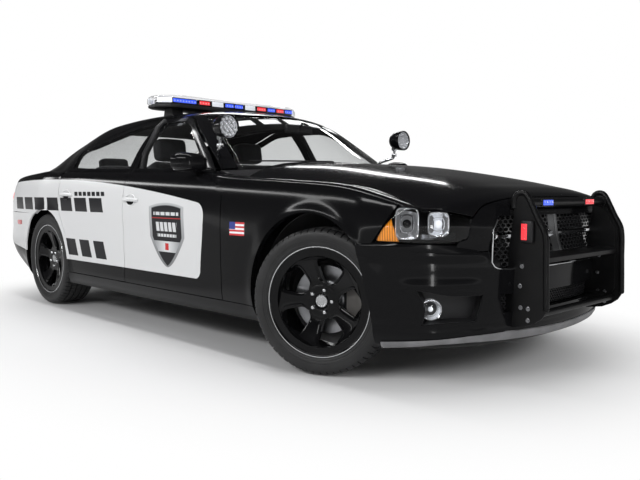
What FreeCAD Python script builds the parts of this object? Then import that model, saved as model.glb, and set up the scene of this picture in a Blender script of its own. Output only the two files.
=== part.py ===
"""Police patrol car: a four-door sedan with a push bumper, a roof light bar and two pillar spotlamps.

Lengths are in millimetres. Shapes are drawn with x measured forward from the front axle, y to the
car's left and z up from the ground, and are moved on export so that the origin lies on the ground
under the middle of the whole car.
"""
import FreeCAD
import Part
import math
import os

V = FreeCAD.Vector
os.makedirs("parts", exist_ok=True)

# ---- driving dimensions -------------------------------------------------------------------------
WHEELBASE = 3052.0
TAIL_REACH = 1150.0          # rear axle to the rearmost point of the rear bumper
GUARD_REACH = 970.0          # front axle to the front of the push bumper
NOSE_REACH = 836.0           # front axle to the foremost point of the bumper skin
HALF_TRACK = 806.0           # centre plane of the car to the centre plane of a tyre
TYRE_RADIUS = 362.0
TYRE_WIDTH = 245.0
RIM_RADIUS = 271.0           # outer lip of the rim
REST_STEER = 21.0            # degrees to the left at which the front wheels stand
HALF_WIDTH = 945.0           # widest point of the body side
BODY_BOTTOM = 190.0
SILL_TOP = 288.0             # bottom edge of the doors
ROOF_HEIGHT = 1481.0
BAR_TOP = 1572.0             # top of the light bar

PANEL_GAP = 8.0
SIDE_WALL = 90.0             # whole thickness of a door below the belt
CAB_WALL = 38.0              # thickness of pillars, roof and window frames
LID_WALL = 30.0              # thickness of hood and trunk lid
END_WALL = 60.0              # thickness of the bumpers
GLASS = 6.0
GLASS_INSET = 8.0            # the glass lies this far inside the frames' outer face
RUN = 0.3                    # clearance of a turning fit
CLEAR = 6.0                  # clearance beside a moving piece

FRONT_ARCH = 434.0           # radius of the front wheel opening
REAR_ARCH = 398.0
HOUSE_IN = 488.0             # inner wall of a front wheel house, clear of the steered tyre
REAR_HOUSE_IN = 650.0

REAR_AXLE = -WHEELBASE
TAIL = REAR_AXLE - TAIL_REACH
ORIGIN_SHIFT = (WHEELBASE + TAIL_REACH - GUARD_REACH) / 2.0
FENDER_END = -696.0
FRONT_DOOR = (-704.0, -1796.0)
REAR_DOOR = (-1804.0, -2790.0)
SEAM_SLANT = 0.36            # how far a window frame's rear edge steps forward per unit of depth
DOOR_SLANT = 0.12            # and the same below the belt
COWL = -640.0                # rear edge of the hood
DECK_FRONT = -3725.0         # front edge of the trunk lid
LID_GAP = 46.0               # slot for the hinges of hood and lid
HINGE_IN = 16.0              # hinge axis of hood or lid outside its edge
HOOD_HINGE_Z = 1045.0
LID_HINGE_Z = 1052.0
COWL_ZONE = -905.0            # behind it the belt, not the crown of the hood, bounds the body
DECK_ZONE = -2960.0
TAIL_SEAM = 722.0            # top of the rear bumper
LAMP_LOW = 664.0             # top of the front bumper's corner, bottom of the headlamps
LAMP_IN = 575.0              # inner end of a headlamp
STEER_Y = 370.0              # centre plane of the steering wheel

# outlines seen from the side, as x and z
FRONT_DOOR_OUT = [(-704, 288), (-704, 915), (-812, 935), (-905, 1036), (-1445, 1385), (-1796, 1395),
                  (-1796, 1040), (-1796, 990), (-1796, 288)]
REAR_DOOR_OUT = [(-1804, 288), (-1804, 1390), (-2010, 1390), (-2870, 1208), (-2800, 990),
                 (-2790, 760), (-2685, 600), (-2610, 440), (-2580, 288)]
REAR_MOUTH = [(-1804, 288), (-1804, 1395), (-2060, 1395), (-2870, 1213)] + REAR_DOOR_OUT[4:]
SKIN_Y = ((288, 930), (590, 945), (950, 908), (1040, 868), (1395, 620))
FRONT_WINDOW = [(-935, 1018), (-1440, 1352), (-1762, 1362), (-1762, 1038)]
REAR_WINDOW = [(-1838, 1042), (-1838, 1362), (-2045, 1358), (-2775, 1182), (-2715, 1062)]

# height at the front axle, rise per unit rearward, nose inset, side inset, tail inset
WALL_LEVELS = ((BODY_BOTTOM, 0.0, 46, 60, 80), (300, 0.0, 6, 16, 30), (590, 0.0, 0, 0, 0),
               (800, 0.012, 34, 5, 26), (950, 0.020, 60, 36, 120), (1000, 0.020, 110, 52, 160),
               (1130, 0.020, 190, 110, 260))
# place along the car, height in the middle, at the hood's side seam and at the fender's crease
HOOD_STATIONS = ((880, 740, 640, 640), (820, 800, 712, 700), (760, 866, 784, 770),
                 (530, 936, 851, 850), (240, 987, 916, 932), (-200, 1050, 945, 961),
                 (-640, 1078, 980, 984), (-905, 1082, 1005, 1008), (-1200, 1086, 1012, 1014))
DECK_STATIONS = ((-2800, 1066, 1050, 1054), (-3300, 1076, 1034, 1040), (-3700, 1082, 1020, 1018),
                 (-4080, 1092, 985, 975), (-4300, 1060, 960, 950))
SEAM_Y = 790.0
CREASE_Y = 905.0
# height; windshield middle x, corner x y, pillar x y, side y, rear side x y, rear corner x y, rear x
CAB_LEVELS = ((1000, -600, -800, 705, -900, 872, 886, -2950, 852, -3640, 640, -3790),
              (1200, -870, -1090, 650, -1190, 765, 776, -2780, 738, -3330, 600, -3470),
              (1360, -1100, -1320, 582, -1420, 640, 648, -2600, 620, -2880, 535, -3040),
              (1510, -1390, -1570, 500, -1640, 530, 524, -2330, 500, -2440, 450, -2600))


# ---- small helpers ------------------------------------------------------------------------------
def arc(a, b, c):
    return Part.Arc(a, b, c).toShape()


def line(a, b):
    return Part.makeLine(a, b)


def polygon(points):
    return Part.makePolygon(list(points) + [points[0]])


def prism(points, direction):
    return Part.Face(polygon(points)).extrude(direction)


def box(x0, x1, y0, y1, z0, z1):
    return Part.makeBox(x1 - x0, y1 - y0, z1 - z0, V(x0, y0, z0))


def skin_y(z):
    for (z0, y0), (z1, y1) in zip(SKIN_Y, SKIN_Y[1:]):
        if z <= z1:
            return y0 + (y1 - y0) * (z - z0) / (z1 - z0)
    return SKIN_Y[-1][1]


def side_prism(outline, y_out=1010.0, y_in=560.0, slants=None):
    """A prism through the left side, outline in x and z; slants shift its deeper corners forward."""
    slants = slants or [0.0] * len(outline)
    outer, inner = [], []
    for (x, z), slant in zip(outline, slants):
        skin = skin_y(z)
        outer.append(V(x - slant * (y_out - skin), y_out, z))
        inner.append(V(x + slant * (skin - y_in), y_in, z))
    return Part.makeLoft([polygon(outer), polygon(inner)], True, True)


def plan_prism(outline, z0, z1):
    return prism([V(x, y, z0) for x, y in outline], V(0, 0, z1 - z0))


def front_prism(outline, x0, x1):
    return prism([V(x0, y, z) for y, z in outline], V(x1 - x0, 0, 0))


def cyl(base, axis, radius, length):
    return Part.makeCylinder(radius, length, base, axis)


def mirrored(shape):
    return shape.mirror(V(0, 0, 0), V(0, 1, 0))


def pair(shape):
    return [shape, mirrored(shape)]


def fused(shapes):
    return shapes[0].multiFuse(shapes[1:]) if len(shapes) > 1 else shapes[0]


def solids_of(shape, least=20000.0):
    return [s for s in shape.Solids if s.Volume > least]


def grow(outline, by):
    """The outline moved outward by a distance, corners mitred."""
    area = sum(a[0] * b[1] - b[0] * a[1] for a, b in zip(outline, outline[1:] + outline[:1]))
    side = by if area > 0 else -by
    out = []
    for i, point in enumerate(outline):
        before, after = outline[i - 1], outline[(i + 1) % len(outline)]
        normals = []
        for a, b in ((before, point), (point, after)):
            dx, dz = b[0] - a[0], b[1] - a[1]
            size = math.hypot(dx, dz)
            normals.append((dz / size, -dx / size))
        (ax, az), (bx, bz) = normals
        scale = side / (1 + ax * bx + az * bz)
        out.append((point[0] + (ax + bx) * scale, point[1] + (az + bz) * scale))
    return out


def save(name, *shapes):
    solids = [s for shape in shapes for s in solids_of(shape)]
    if not solids:
        raise ValueError("nothing in " + name)
    moved = Part.makeCompound([s.copy() for s in solids])
    moved.translate(V(ORIGIN_SHIFT, 0, 0))
    flaws = sum(not s.isValid() for s in moved.Solids)
    moved.exportStep("parts/" + name + ".step")
    litres = round(sum(s.Volume for s in solids) / 1e6, 2)
    print(name, len(solids), "solid(s)", litres, "litres", "FLAWED" if flaws else "")


# ---- the body's outer and inner forms -----------------------------------------------------------
def plan_wire(level, rise, nose, half, tail):
    """Outline of the lower body on one slightly tilted plane: nose, corners, sides and tail as arcs."""
    def at(x, y):
        return V(x, y, level - rise * x)
    spots = ((nose - 50, 420), (nose - 135, half - 285), (nose - 315, half - 83),
             (nose - 430, half - 35), (nose - 640, half), (REAR_AXLE + 150, half),
             (tail + 600, half - 42), (tail + 220, half - 110), (tail + 95, half - 245), (tail + 34, 440))
    left = [at(x, y) for x, y in spots]
    right = [at(x, -y) for x, y in spots]
    turn = [arc(left[0], left[1], left[2]), arc(left[2], left[3], left[4]), line(left[4], left[5]),
            arc(left[5], left[6], left[7]), arc(left[7], left[8], left[9])]
    back = [arc(right[9], right[8], right[7]), arc(right[7], right[6], right[5]),
            line(right[5], right[4]), arc(right[4], right[3], right[2]), arc(right[2], right[1], right[0])]
    nose_arc = arc(right[0], at(nose, 0), left[0])
    tail_arc = arc(left[9], at(tail, 0), right[9])
    return Part.Wire([nose_arc] + turn + [tail_arc] + back)


def wall_form(end_in, side_in, drop):
    wires = []
    for i, (z, rise, nose_in, half_in, tail_in) in enumerate(WALL_LEVELS):
        level = z - drop if i == 0 else z
        wires.append(plan_wire(level, rise, NOSE_REACH - nose_in - end_in,
                               HALF_WIDTH - half_in - side_in, TAIL + tail_in + end_in))
    return Part.makeLoft(wires, True, True)


def crown_form(stations, lower):
    """Everything under a crowned top such as the hood with its fenders, or the rear deck."""
    wires = []
    for x, middle, seam, crease in stations:
        half = [V(x, SEAM_Y, seam - lower), V(x, CREASE_Y, crease - lower),
                V(x, 1010, crease - 70 - lower), V(x, 1010, 0)]
        right = [V(p.x, -p.y, p.z) for p in half]
        top = arc(right[0], V(x, 0, middle - lower), half[0])
        ring = half + right[::-1]
        wires.append(Part.Wire([top] + [line(a, b) for a, b in zip(ring, ring[1:])]))
    return Part.makeLoft(wires, True, True)


def cab_form(inset):
    wires = []
    slope = 1.8 * inset
    for z, front, cx, cy, px, py, mid, sx, sy, rx, ry, rear in CAB_LEVELS:
        left = [V(cx - slope, cy - inset, z), V(px - slope, py - inset, z), V(sx, sy - inset, z),
                V(rx + slope, ry - inset, z)]
        right = [V(p.x, -p.y, p.z) for p in left]
        middle = V((px + sx) / 2, mid - inset, z)
        wires.append(Part.Wire([
            arc(right[0], V(front - slope, 0, z), left[0]), line(left[0], left[1]),
            arc(left[1], middle, left[2]), line(left[2], left[3]),
            arc(left[3], V(rear + slope, 0, z), right[3]), line(right[3], right[2]),
            arc(right[2], V(middle.x, -middle.y, z), right[1]), line(right[1], right[0])]))
    return Part.makeLoft(wires, True, True)


def roof_form(lower):
    """Everything under the roof's crown."""
    wires = []
    for x, middle in ((-500, 1300), (-1150, 1408), (-1480, 1462), (-1900, ROOF_HEIGHT),
                      (-2350, 1470), (-2800, 1424), (-3100, 1350), (-4200, 1020)):
        top = middle - lower
        half = [V(x, 700, top - 72), V(x, 1010, top - 160), V(x, 1010, 700)]
        right = [V(p.x, -p.y, p.z) for p in half]
        ring = half + right[::-1]
        crown = arc(right[0], V(x, 0, top), half[0])
        wires.append(Part.Wire([crown] + [line(a, b) for a, b in zip(ring, ring[1:])]))
    return Part.makeLoft(wires, True, True)


def above_belt():
    """The space over the window sill line, which only the cab may fill."""
    outline = [(COWL, 1002), (DECK_ZONE, 1053), (DECK_ZONE, 1400), (COWL, 1400)]
    return prism([V(x, -1010, z) for x, z in outline], V(0, 2020, 0))


def body_form(end_in, side_in, drop, lid_in, cab_in):
    wall = wall_form(end_in, side_in, drop)
    front = wall.common(box(COWL_ZONE, 1000, -1010, 1010, 0, 1400))
    front = front.common(crown_form(HOOD_STATIONS, lid_in))
    rear = wall.common(box(-4400, DECK_ZONE, -1010, 1010, 0, 1400))
    rear = rear.common(crown_form(DECK_STATIONS, lid_in))
    middle = wall.common(box(DECK_ZONE, COWL_ZONE, -1010, 1010, 0, 1400)).cut(above_belt())
    cab = cab_form(cab_in).common(roof_form(cab_in))
    return fused([front, middle, rear, cab])


OUTER = body_form(0.0, 0.0, 0.0, 0.0, 0.0)
INNER = body_form(END_WALL, SIDE_WALL, 60.0, LID_WALL, CAB_WALL)
SHELL = OUTER.cut(INNER)


# ---- panels cut from the shell ------------------------------------------------------------------
def door_slants(outline, door):
    """Rear-edge corners step forward with depth, so that the door swings past what lies behind it."""
    slants = []
    for x, z in outline:
        rear = x <= door[1] + 1 or (door is REAR_DOOR and x < -2500)
        slants.append((SEAM_SLANT if z > 1030 else DOOR_SLANT) if rear else 0.0)
    return slants


def door_set(outline, window, door, mouth):
    """A door, its glass and the prism of its opening, all on the left side."""
    slants = door_slants(outline, door)
    opening = side_prism(window)
    inboard = box(COWL_ZONE - 20, COWL, 0, 800, 900, 1050)
    panel = SHELL.common(side_prism(outline, slants=slants).cut(inboard)).cut(opening)
    pane = GLASS_SHEET.common(opening)
    room = side_prism(grow(mouth, PANEL_GAP), slants=slants)
    return panel, pane, room.cut(box(COWL_ZONE - 20, COWL, 0, 792, 900, 1050))


GLASS_SHEET = body_form(20.0, 20.0, 0.0, 20.0, GLASS_INSET).cut(
    body_form(90.0, 90.0, 60.0, 90.0, GLASS_INSET + GLASS))
FRONT_GLASS_OUT = [(-690, 1046), (-575, 1372), (-300, 1412), (300, 1412), (575, 1372), (690, 1046),
                   (300, 1085), (-300, 1085)]
REAR_GLASS_OUT = [(-590, 1112), (-545, 1330), (-300, 1395), (300, 1395), (545, 1330), (590, 1112)]
front_opening = front_prism(FRONT_GLASS_OUT, -200, -1330)
rear_opening = front_prism(REAR_GLASS_OUT, -2760, -4000)
save("windshield", GLASS_SHEET.common(front_opening))
save("rear_window", GLASS_SHEET.common(rear_opening))

left_front = door_set(FRONT_DOOR_OUT, FRONT_WINDOW, FRONT_DOOR, FRONT_DOOR_OUT)
left_rear = door_set(REAR_DOOR_OUT, REAR_WINDOW, REAR_DOOR, REAR_MOUTH)
frame = SHELL
HANDLES = {"front": (-1675, 845), "rear": (-2629, 900)}
for name, (panel, pane, hole) in (("front", left_front), ("rear", left_rear)):
    x, z = HANDLES[name]
    panel = panel.fuse(box(x - 84, x + 84, 930, 962, z - 14, z + 14).cut(INNER))
    for side, door, glass in (("left", panel, pane), ("right", mirrored(panel), mirrored(pane))):
        save(name + "_door_" + side, door)
        save(name + "_door_glass_" + side, glass)
    frame = frame.cut(hole).cut(mirrored(hole))
frame = frame.cut(front_opening).cut(rear_opening)

# the wheel openings
arches = []
for x, radius, inner in ((0.0, FRONT_ARCH, HOUSE_IN), (REAR_AXLE, REAR_ARCH, REAR_HOUSE_IN)):
    drum = cyl(V(x, inner, TYRE_RADIUS), V(0, 1, 0), radius, 1010 - inner)
    arches.append(fused([drum, box(x - radius + 8, x + radius - 8, inner, 1010, 0, TYRE_RADIUS)]))
for arch in arches:
    frame = frame.cut(arch).cut(mirrored(arch))

# hood and trunk lid
HOOD_HALF = [(COWL, 0), (COWL, 785), (240, 792), (530, 752), (700, 640), (752, 540), (782, 400),
             (795, 0)]
HOOD_OUT = HOOD_HALF + [(x, -y) for x, y in HOOD_HALF[-2:0:-1]]
under_hood = crown_form(HOOD_STATIONS, LID_WALL)
hood = crown_form(HOOD_STATIONS, 0.0).cut(under_hood).common(plan_prism(HOOD_OUT, 600, 1300))
hood = hood.common(OUTER)


def knuckles(x, z, edge):
    """Two eyes carried by a lid's edge, and the pin and ears that hold each of them."""
    eyes, ears = [], []
    for y in (-300, 300):
        eye = cyl(V(x, y - 15, z), V(0, 1, 0), 12, 30).fuse(
            box(min(x, edge), max(x, edge), y - 15, y + 15, z - 9, z + 9))
        eyes.append(eye.cut(cyl(V(x, y - 20, z), V(0, 1, 0), 6 + RUN, 40)))
        ears.append(cyl(V(x, y - 38, z), V(0, 1, 0), 6, 76))
        for start in (y - 38, y + 21):
            ears.append(cyl(V(x, start, z), V(0, 1, 0), 8, 17))
            ears.append(box(x - 8, x + 8, start, start + 17, z - 50, z))
    return eyes, ears


hood_eyes, hood_ears = knuckles(COWL - HINGE_IN, HOOD_HINGE_Z, COWL + 20)
lid_eyes, lid_ears = knuckles(DECK_FRONT + HINGE_IN, LID_HINGE_Z, DECK_FRONT - 20)
save("hood", fused([hood] + hood_eyes))
hood_room = crown_form(HOOD_STATIONS, -200.0).cut(crown_form(HOOD_STATIONS, LID_WALL + CLEAR))
frame = frame.cut(hood_room.common(plan_prism(grow(HOOD_OUT, PANEL_GAP), 600, 1400)))

LID_HALF = [(DECK_FRONT, 0), (DECK_FRONT, 690), (-3990, 705), (-4300, 705)]
LID_OUT = LID_HALF + [(x, -y) for x, y in LID_HALF[:0:-1]]
lid_zone = plan_prism(LID_OUT, TAIL_SEAM + PANEL_GAP, 1300)
lid = SHELL.common(lid_zone)
lid_room = plan_prism(grow(LID_OUT, PANEL_GAP), TAIL_SEAM, 1300)
slot = box(DECK_FRONT - 1, DECK_FRONT + LID_GAP, -698, 698, 900, 1300)
slot = slot.fuse(box(COWL - LID_GAP, COWL + 1, -785, 785, 900, 1300))
frame = frame.cut(lid_room).cut(slot)

# the ends
front_zone = fused([box(0, 1000, -1010, 1010, 0, LAMP_LOW), box(0, 1000, -LAMP_IN, LAMP_IN, 0, 1000)])
rear_zone = box(-4400, REAR_AXLE, -1010, 1010, 0, TAIL_SEAM)
front_bumper = frame.common(front_zone)
TAILPIPE = (520, 245, 36)    # y, z and radius of a tailpipe
pipe_room = cyl(V(-4400, TAILPIPE[0], TAILPIPE[1]), V(1, 0, 0), TAILPIPE[2] + CLEAR, 500)
rear_bumper = frame.common(rear_zone).cut(fused(pair(pipe_room)))
frame = frame.cut(front_zone).cut(rear_zone)
lamp_zone = side_prism([(392, LAMP_LOW), (512, 860), (1000, 860), (1000, LAMP_LOW)], y_in=LAMP_IN)
tail_zone = side_prism([(-3965, 812), (-3985, 925), (-4400, 925), (-4400, 800)], y_in=500)
save("headlamps", *[frame.common(zone) for zone in pair(lamp_zone)])
save("tail_lamps", *[frame.common(zone) for zone in pair(tail_zone)])
frame = frame.cut(fused(pair(lamp_zone))).cut(fused(pair(tail_zone)))
strip = front_prism([(-690, 800), (-690, 925), (690, 925), (690, 800)], -4400, -4050)
save("tail_lamp_strip", lid.common(strip))
save("trunk_lid", fused([lid.cut(strip)] + lid_eyes))

# grille, its opening and the fog lamps' pockets
GRILLE_OUT = [(-455, 556), (-505, 610), (-488, 784), (488, 784), (505, 610), (455, 556)]
INTAKE_OUT = [(-470, 290), (-500, 330), (-480, 470), (480, 470), (500, 330), (470, 290)]
grille_opening = front_prism(GRILLE_OUT, 500, 1000)
intake_opening = front_prism(INTAKE_OUT, 500, 1000)
grille_rim = front_prism(grow(GRILLE_OUT, -24), 500, 1000)
mesh = [box(500, 1000, -520, 520, z - 13, z + 13) for z in (619, 675, 731)]
mesh += [box(500, 1000, y - 13, y + 13, 500, 800) for y in (-360, -180, 0, 180, 360)]
bars = grille_opening.cut(grille_rim).multiFuse([m.common(grille_opening) for m in mesh])
grille_depth = wall_form(14.0, 20.0, 0.0).cut(wall_form(44.0, 60.0, 60.0))
louvres = [box(500, 1000, -520, 520, z - 9, z + 9) for z in (335, 380, 425)]
louvres += [box(500, 1000, y - 9, y + 9, 280, 480) for y in (-240, 0, 240)]
lower_bars = louvres[0].multiFuse(louvres[1:]).common(intake_opening)
save("grilles", grille_depth.common(bars), grille_depth.common(lower_bars))
fog = cyl(V(470, 715, 372), V(math.cos(math.radians(24)), math.sin(math.radians(24)), 0), 46, 330)
front_bumper = front_bumper.cut(grille_opening).cut(intake_opening).cut(fused(pair(fog)))
save("fog_lamps", *[grille_depth.common(f) for f in pair(fog)])
save("front_bumper", front_bumper)
save("rear_bumper", rear_bumper)

# fenders and the frame of the cabin
cowl_zone = fused([box(-1010, COWL, -790, 790, 900, 1062), box(-1010, COWL, -560, 560, 900, 1090)])
save("cowl_panel", frame.common(cowl_zone))
frame = frame.cut(cowl_zone)
front_half = box(FENDER_END, 1000, -1010, 1010, 0, 1400)
tip = side_prism([(-600, 923), (-704, 923), (-812, 943), (-868, 1000), (-868, 1030), (-600, 1030)])
front_half = fused([front_half] + pair(tip))
fenders = frame.common(front_half)
save("fenders", *[fenders.common(half) for half in pair(box(-900, 1000, 300, 1010, 0, 1400))])
cabin = frame.cut(front_half)
roof_zone = box(-3050, -1050, -540, 540, 1250, 1600)
save("roof_panel", cabin.common(roof_zone))
cabin = cabin.cut(roof_zone)
shelf_zone = box(-4000, -3300, -560, 560, 900, 1250)
hinge_x = DECK_FRONT + HINGE_IN
arms = [box(hinge_x - 8, -3590, y - 8.5, y + 8.5, 1002, 1018) for y in (-329.5, -270.5, 270.5, 329.5)]
arms += [box(-3622, -3590, y - 8.5, y + 8.5, 1002, 1062) for y in (-329.5, -270.5, 270.5, 329.5)]
save("rear_shelf", fused([cabin.common(shelf_zone)] + lid_ears + arms))
cabin = cabin.cut(shelf_zone)
save("side_frames", *[cabin.common(half) for half in pair(box(-5000, 0, 300, 1010, 0, 1500))])
post_form = body_form(80.0, SIDE_WALL + 8.0, 60.0, 60.0, CAB_WALL + 8.0).cut(
    body_form(140.0, SIDE_WALL + 58.0, 120.0, 120.0, CAB_WALL + 42.0))
post_zone = side_prism([(-1692, 236), (-1692, 1390), (-1790, 1390), (-1790, 236)], y_in=500)
save("centre_posts", *[post_form.common(z) for z in pair(post_zone)])

# floor, front wall of the cabin and wheel houses
floor = fused([box(-2620, -632, -900, 900, 200, 236), box(-2620, -2584, -900, 900, 200, 560),
               box(-4140, -2584, -900, 900, 524, 560), box(-668, -632, -800, 800, 200, 925)])
rails = pair(box(-640, 900, 345, 425, 560, 640)) + pair(box(-694, -632, 700, 900, 200, 900))
hinge_posts = [box(COWL - 24, COWL - 8, y - 38, y - 21, 900, 1000) for y in (-300, 300)]
hinge_posts += [box(COWL - 24, COWL - 8, y + 21, y + 38, 900, 1000) for y in (-300, 300)]
floor = fused([floor] + rails).common(INNER).fuse(fused(hood_ears + hinge_posts))
for arch in arches:
    floor = floor.cut(arch).cut(mirrored(arch))
save("floor_pan", floor)
liners = []
for arch, x, radius, inner in ((arches[0], 0.0, FRONT_ARCH, HOUSE_IN),
                               (arches[1], REAR_AXLE, REAR_ARCH, REAR_HOUSE_IN)):
    outer_drum = cyl(V(x, inner - 6, TYRE_RADIUS), V(0, 1, 0), radius + 6, 1010 - inner)
    liner = outer_drum.common(box(x - 600, x + 600, 0, 1010, TYRE_RADIUS - 60, 1000))
    hole = box(x - 130, x + 130, 0, 1010, 250, TYRE_RADIUS + 90)
    liners += pair(liner.cut(arch).cut(hole).common(INNER).cut(floor))
save("wheel_houses", *liners)

# power unit, suspension and exhaust
ENGINE = (-420, 330, -320, 320, 290, 860)
save("engine_block", box(*ENGINE))
STUB_R = 24.0
KNUCKLE_R = 104.0            # the knuckle's inboard face is round about the steering axis
AXLE_Z = TYRE_RADIUS


def upright(y):
    """Knuckle with its stub axle, on the left, wheels straight; its middle is the steering axis."""
    body = cyl(V(0, y, AXLE_Z - 55), V(0, 0, 1), KNUCKLE_R, 110)
    body = body.common(box(-70, 70, y - 200, y - 16, 0, 900))
    stub = cyl(V(0, y - 30, AXLE_Z), V(0, 1, 0), STUB_R, 66)
    bracket = box(66, 140, y - 60, y - 30, AXLE_Z - 50, AXLE_Z + 50)
    caliper = box(120, 208, y - 36, y + 36, AXLE_Z - 70, AXLE_Z + 70)
    caliper = caliper.cut(cyl(V(0, y - 36, AXLE_Z), V(0, 1, 0), 180, 72).common(
        box(0, 400, y - 14, y + 14, 0, 900)))
    return fused([body, stub, bracket, caliper])


def tyre(y):
    half = TYRE_WIDTH / 2
    bead, lip, tread = RIM_RADIUS - 9, RIM_RADIUS + 1, TYRE_RADIUS
    up = [(bead, 0), (bead, half - 22), (lip, half - 22), (lip + 1, half - 12)]
    flank = [(316, half), (342, half - 5), (356, half - 15)]
    points = {k: V(0, y + a, AXLE_Z + r) for k, (r, a) in enumerate(up + flank + [(tread, half - 40)])}
    low = {k: V(0, 2 * y - p.y, p.z) for k, p in points.items()}
    edges = [line(low[1], points[1]), line(points[1], points[2]), line(points[2], points[3]),
             arc(points[3], points[4], points[5]), arc(points[5], points[6], points[7]),
             line(points[7], low[7]), arc(low[7], low[6], low[5]), arc(low[5], low[4], low[3]),
             line(low[3], low[2]), line(low[2], low[1])]
    return Part.Face(Part.Wire(edges)).revolve(V(0, y, AXLE_Z), V(0, 1, 0), 360)


def ring(y0, y1, r_in, r_out):
    outer = cyl(V(0, y0, AXLE_Z), V(0, 1, 0), r_out, y1 - y0)
    return outer.cut(cyl(V(0, y0 - 1, AXLE_Z), V(0, 1, 0), r_in, y1 - y0 + 2))


def rim(y):
    """Rim, five spokes, hub, five lugs and the brake disc, outer side towards +y."""
    half = TYRE_WIDTH / 2
    parts = [ring(y - half + 12, y + half - 12, RIM_RADIUS - 19, RIM_RADIUS - 9)]
    parts += [ring(y - half + 12, y - half + 22, RIM_RADIUS - 15, RIM_RADIUS)]
    parts += [ring(y + half - 22, y + half - 12, RIM_RADIUS - 15, RIM_RADIUS)]
    parts += [cyl(V(0, y - 6, AXLE_Z), V(0, 1, 0), 80, 66), ring(y - 6, y + 8, 60, 172)]
    parts += [cyl(V(0, y + 60, AXLE_Z), V(0, 1, 0), 30.5, 8)]
    profile = [(60, 38), (60, 62), (150, 76), (228, 106), (256, 108), (256, 84), (226, 76), (150, 50)]
    for k in range(5):
        spoke = prism([V(-36, y + a, AXLE_Z + r) for r, a in profile], V(72, 0, 0))
        lug = cyl(V(0, y + 60, AXLE_Z + 57.5), V(0, 1, 0), 10, 19)
        parts += [turned(p, k * 72 + 12) for p in (spoke, turned(lug, 36))]
    bore = cyl(V(0, y - 10, AXLE_Z), V(0, 1, 0), STUB_R + RUN, 50)
    return fused(parts).cut(bore)


def turned(shape, degrees):
    copy = shape.copy()
    copy.rotate(V(0, 0, AXLE_Z), V(0, 1, 0), degrees)
    return copy


def steered(shape, side):
    copy = shape.copy()
    copy.rotate(V(0, side * HALF_TRACK, AXLE_Z), V(0, 0, 1), REST_STEER)
    return copy


for side, word in ((1, "left"), (-1, "right")):
    parts = [upright(HALF_TRACK), tyre(HALF_TRACK), rim(HALF_TRACK)]
    if side < 0:
        parts = [mirrored(p) for p in parts]
    for name, shape in zip(("knuckle", "front_tyre", "front_rim"), parts):
        save(name + "_" + word, steered(shape, side))
    for name, shape in zip(("rear_tyre", "rear_rim"), parts[1:]):
        moved = shape.copy()
        moved.translate(V(REAR_AXLE, 0, 0))
        save(name + "_" + word, moved)

ARM_FRONT = 28.0             # the arm's front face, which the turning caliper bracket passes
arm = box(-62, ARM_FRONT, 345, HALF_TRACK - 20, AXLE_Z - 50, AXLE_Z + 50)
arm = arm.cut(cyl(V(0, HALF_TRACK, 0), V(0, 0, 1), KNUCKLE_R + RUN, 900))
cross = box(-62, 62, -425, 425, 200, 290)
tower = box(-62, 62, 345, 425, 200, 560)
save("front_suspension", fused([cross] + pair(fused([arm, tower]))))
rear_stub = cyl(V(REAR_AXLE, HALF_TRACK - 60, AXLE_Z), V(0, 1, 0), STUB_R, 96)
rear_beam = cyl(V(REAR_AXLE, -700, AXLE_Z), V(0, 1, 0), 60, 1400)
rear_flange = cyl(V(REAR_AXLE, 690, AXLE_Z), V(0, 1, 0), 60, HALF_TRACK - 690 - 14)
mount = box(REAR_AXLE - 70, REAR_AXLE + 70, 400, 520, AXLE_Z, 524)
save("rear_suspension", fused([rear_beam] + pair(fused([rear_stub, rear_flange, mount]))))
pipe = cyl(V(-4196, TAILPIPE[0], TAILPIPE[1]), V(1, 0, 0), TAILPIPE[2], 1560)
hanger = box(-3800, -3740, TAILPIPE[0] - 20, TAILPIPE[0] + 20, TAILPIPE[1], 524)
save("exhaust", *pair(fused([pipe, hanger])))

# inside of the cabin
DASH = [(-696, 700), (-696, 925), (-760, 948), (-1000, 948), (-1066, 900), (-1040, 800), (-960, 690),
        (-800, 650)]
COLUMN_TILT = 25.0
wheel_axis = V(-math.cos(math.radians(COLUMN_TILT)), 0, math.sin(math.radians(COLUMN_TILT)))
wheel_centre = V(-1240, STEER_Y, 940)


def extruded(outline, y0, y1):
    return prism([V(x, y0, z) for x, z in outline], V(0, y1 - y0, 0))


def along(distance):
    return wheel_centre + wheel_axis * distance


dash = extruded(DASH, -765, 765)
column = cyl(along(-330), wheel_axis, 32, 280)
pin = cyl(along(-60), wheel_axis, 14, 40)
bracket = box(-696, -668, -600, 600, 720, 880)
save("dashboard", fused([dash, column, pin, bracket]).cut(
    cyl(along(-50), wheel_axis, 60, 90).cut(cyl(along(-60), wheel_axis, 14, 200))))
steering = [Part.makeTorus(186, 14, wheel_centre, wheel_axis), cyl(along(-44), wheel_axis, 52, 40)]
for angle in (0, 90, 180):
    spoke = Part.makeBox(150, 34, 12, V(40, -17, -22))
    spoke.rotate(V(0, 0, 0), V(0, 0, 1), angle)
    spoke.rotate(V(0, 0, 0), V(0, 1, 0), COLUMN_TILT - 90)
    spoke.translate(wheel_centre)
    steering.append(spoke)
save("steering_wheel", fused(steering).cut(cyl(along(-46), wheel_axis, 14 + RUN, 28)))

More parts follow.
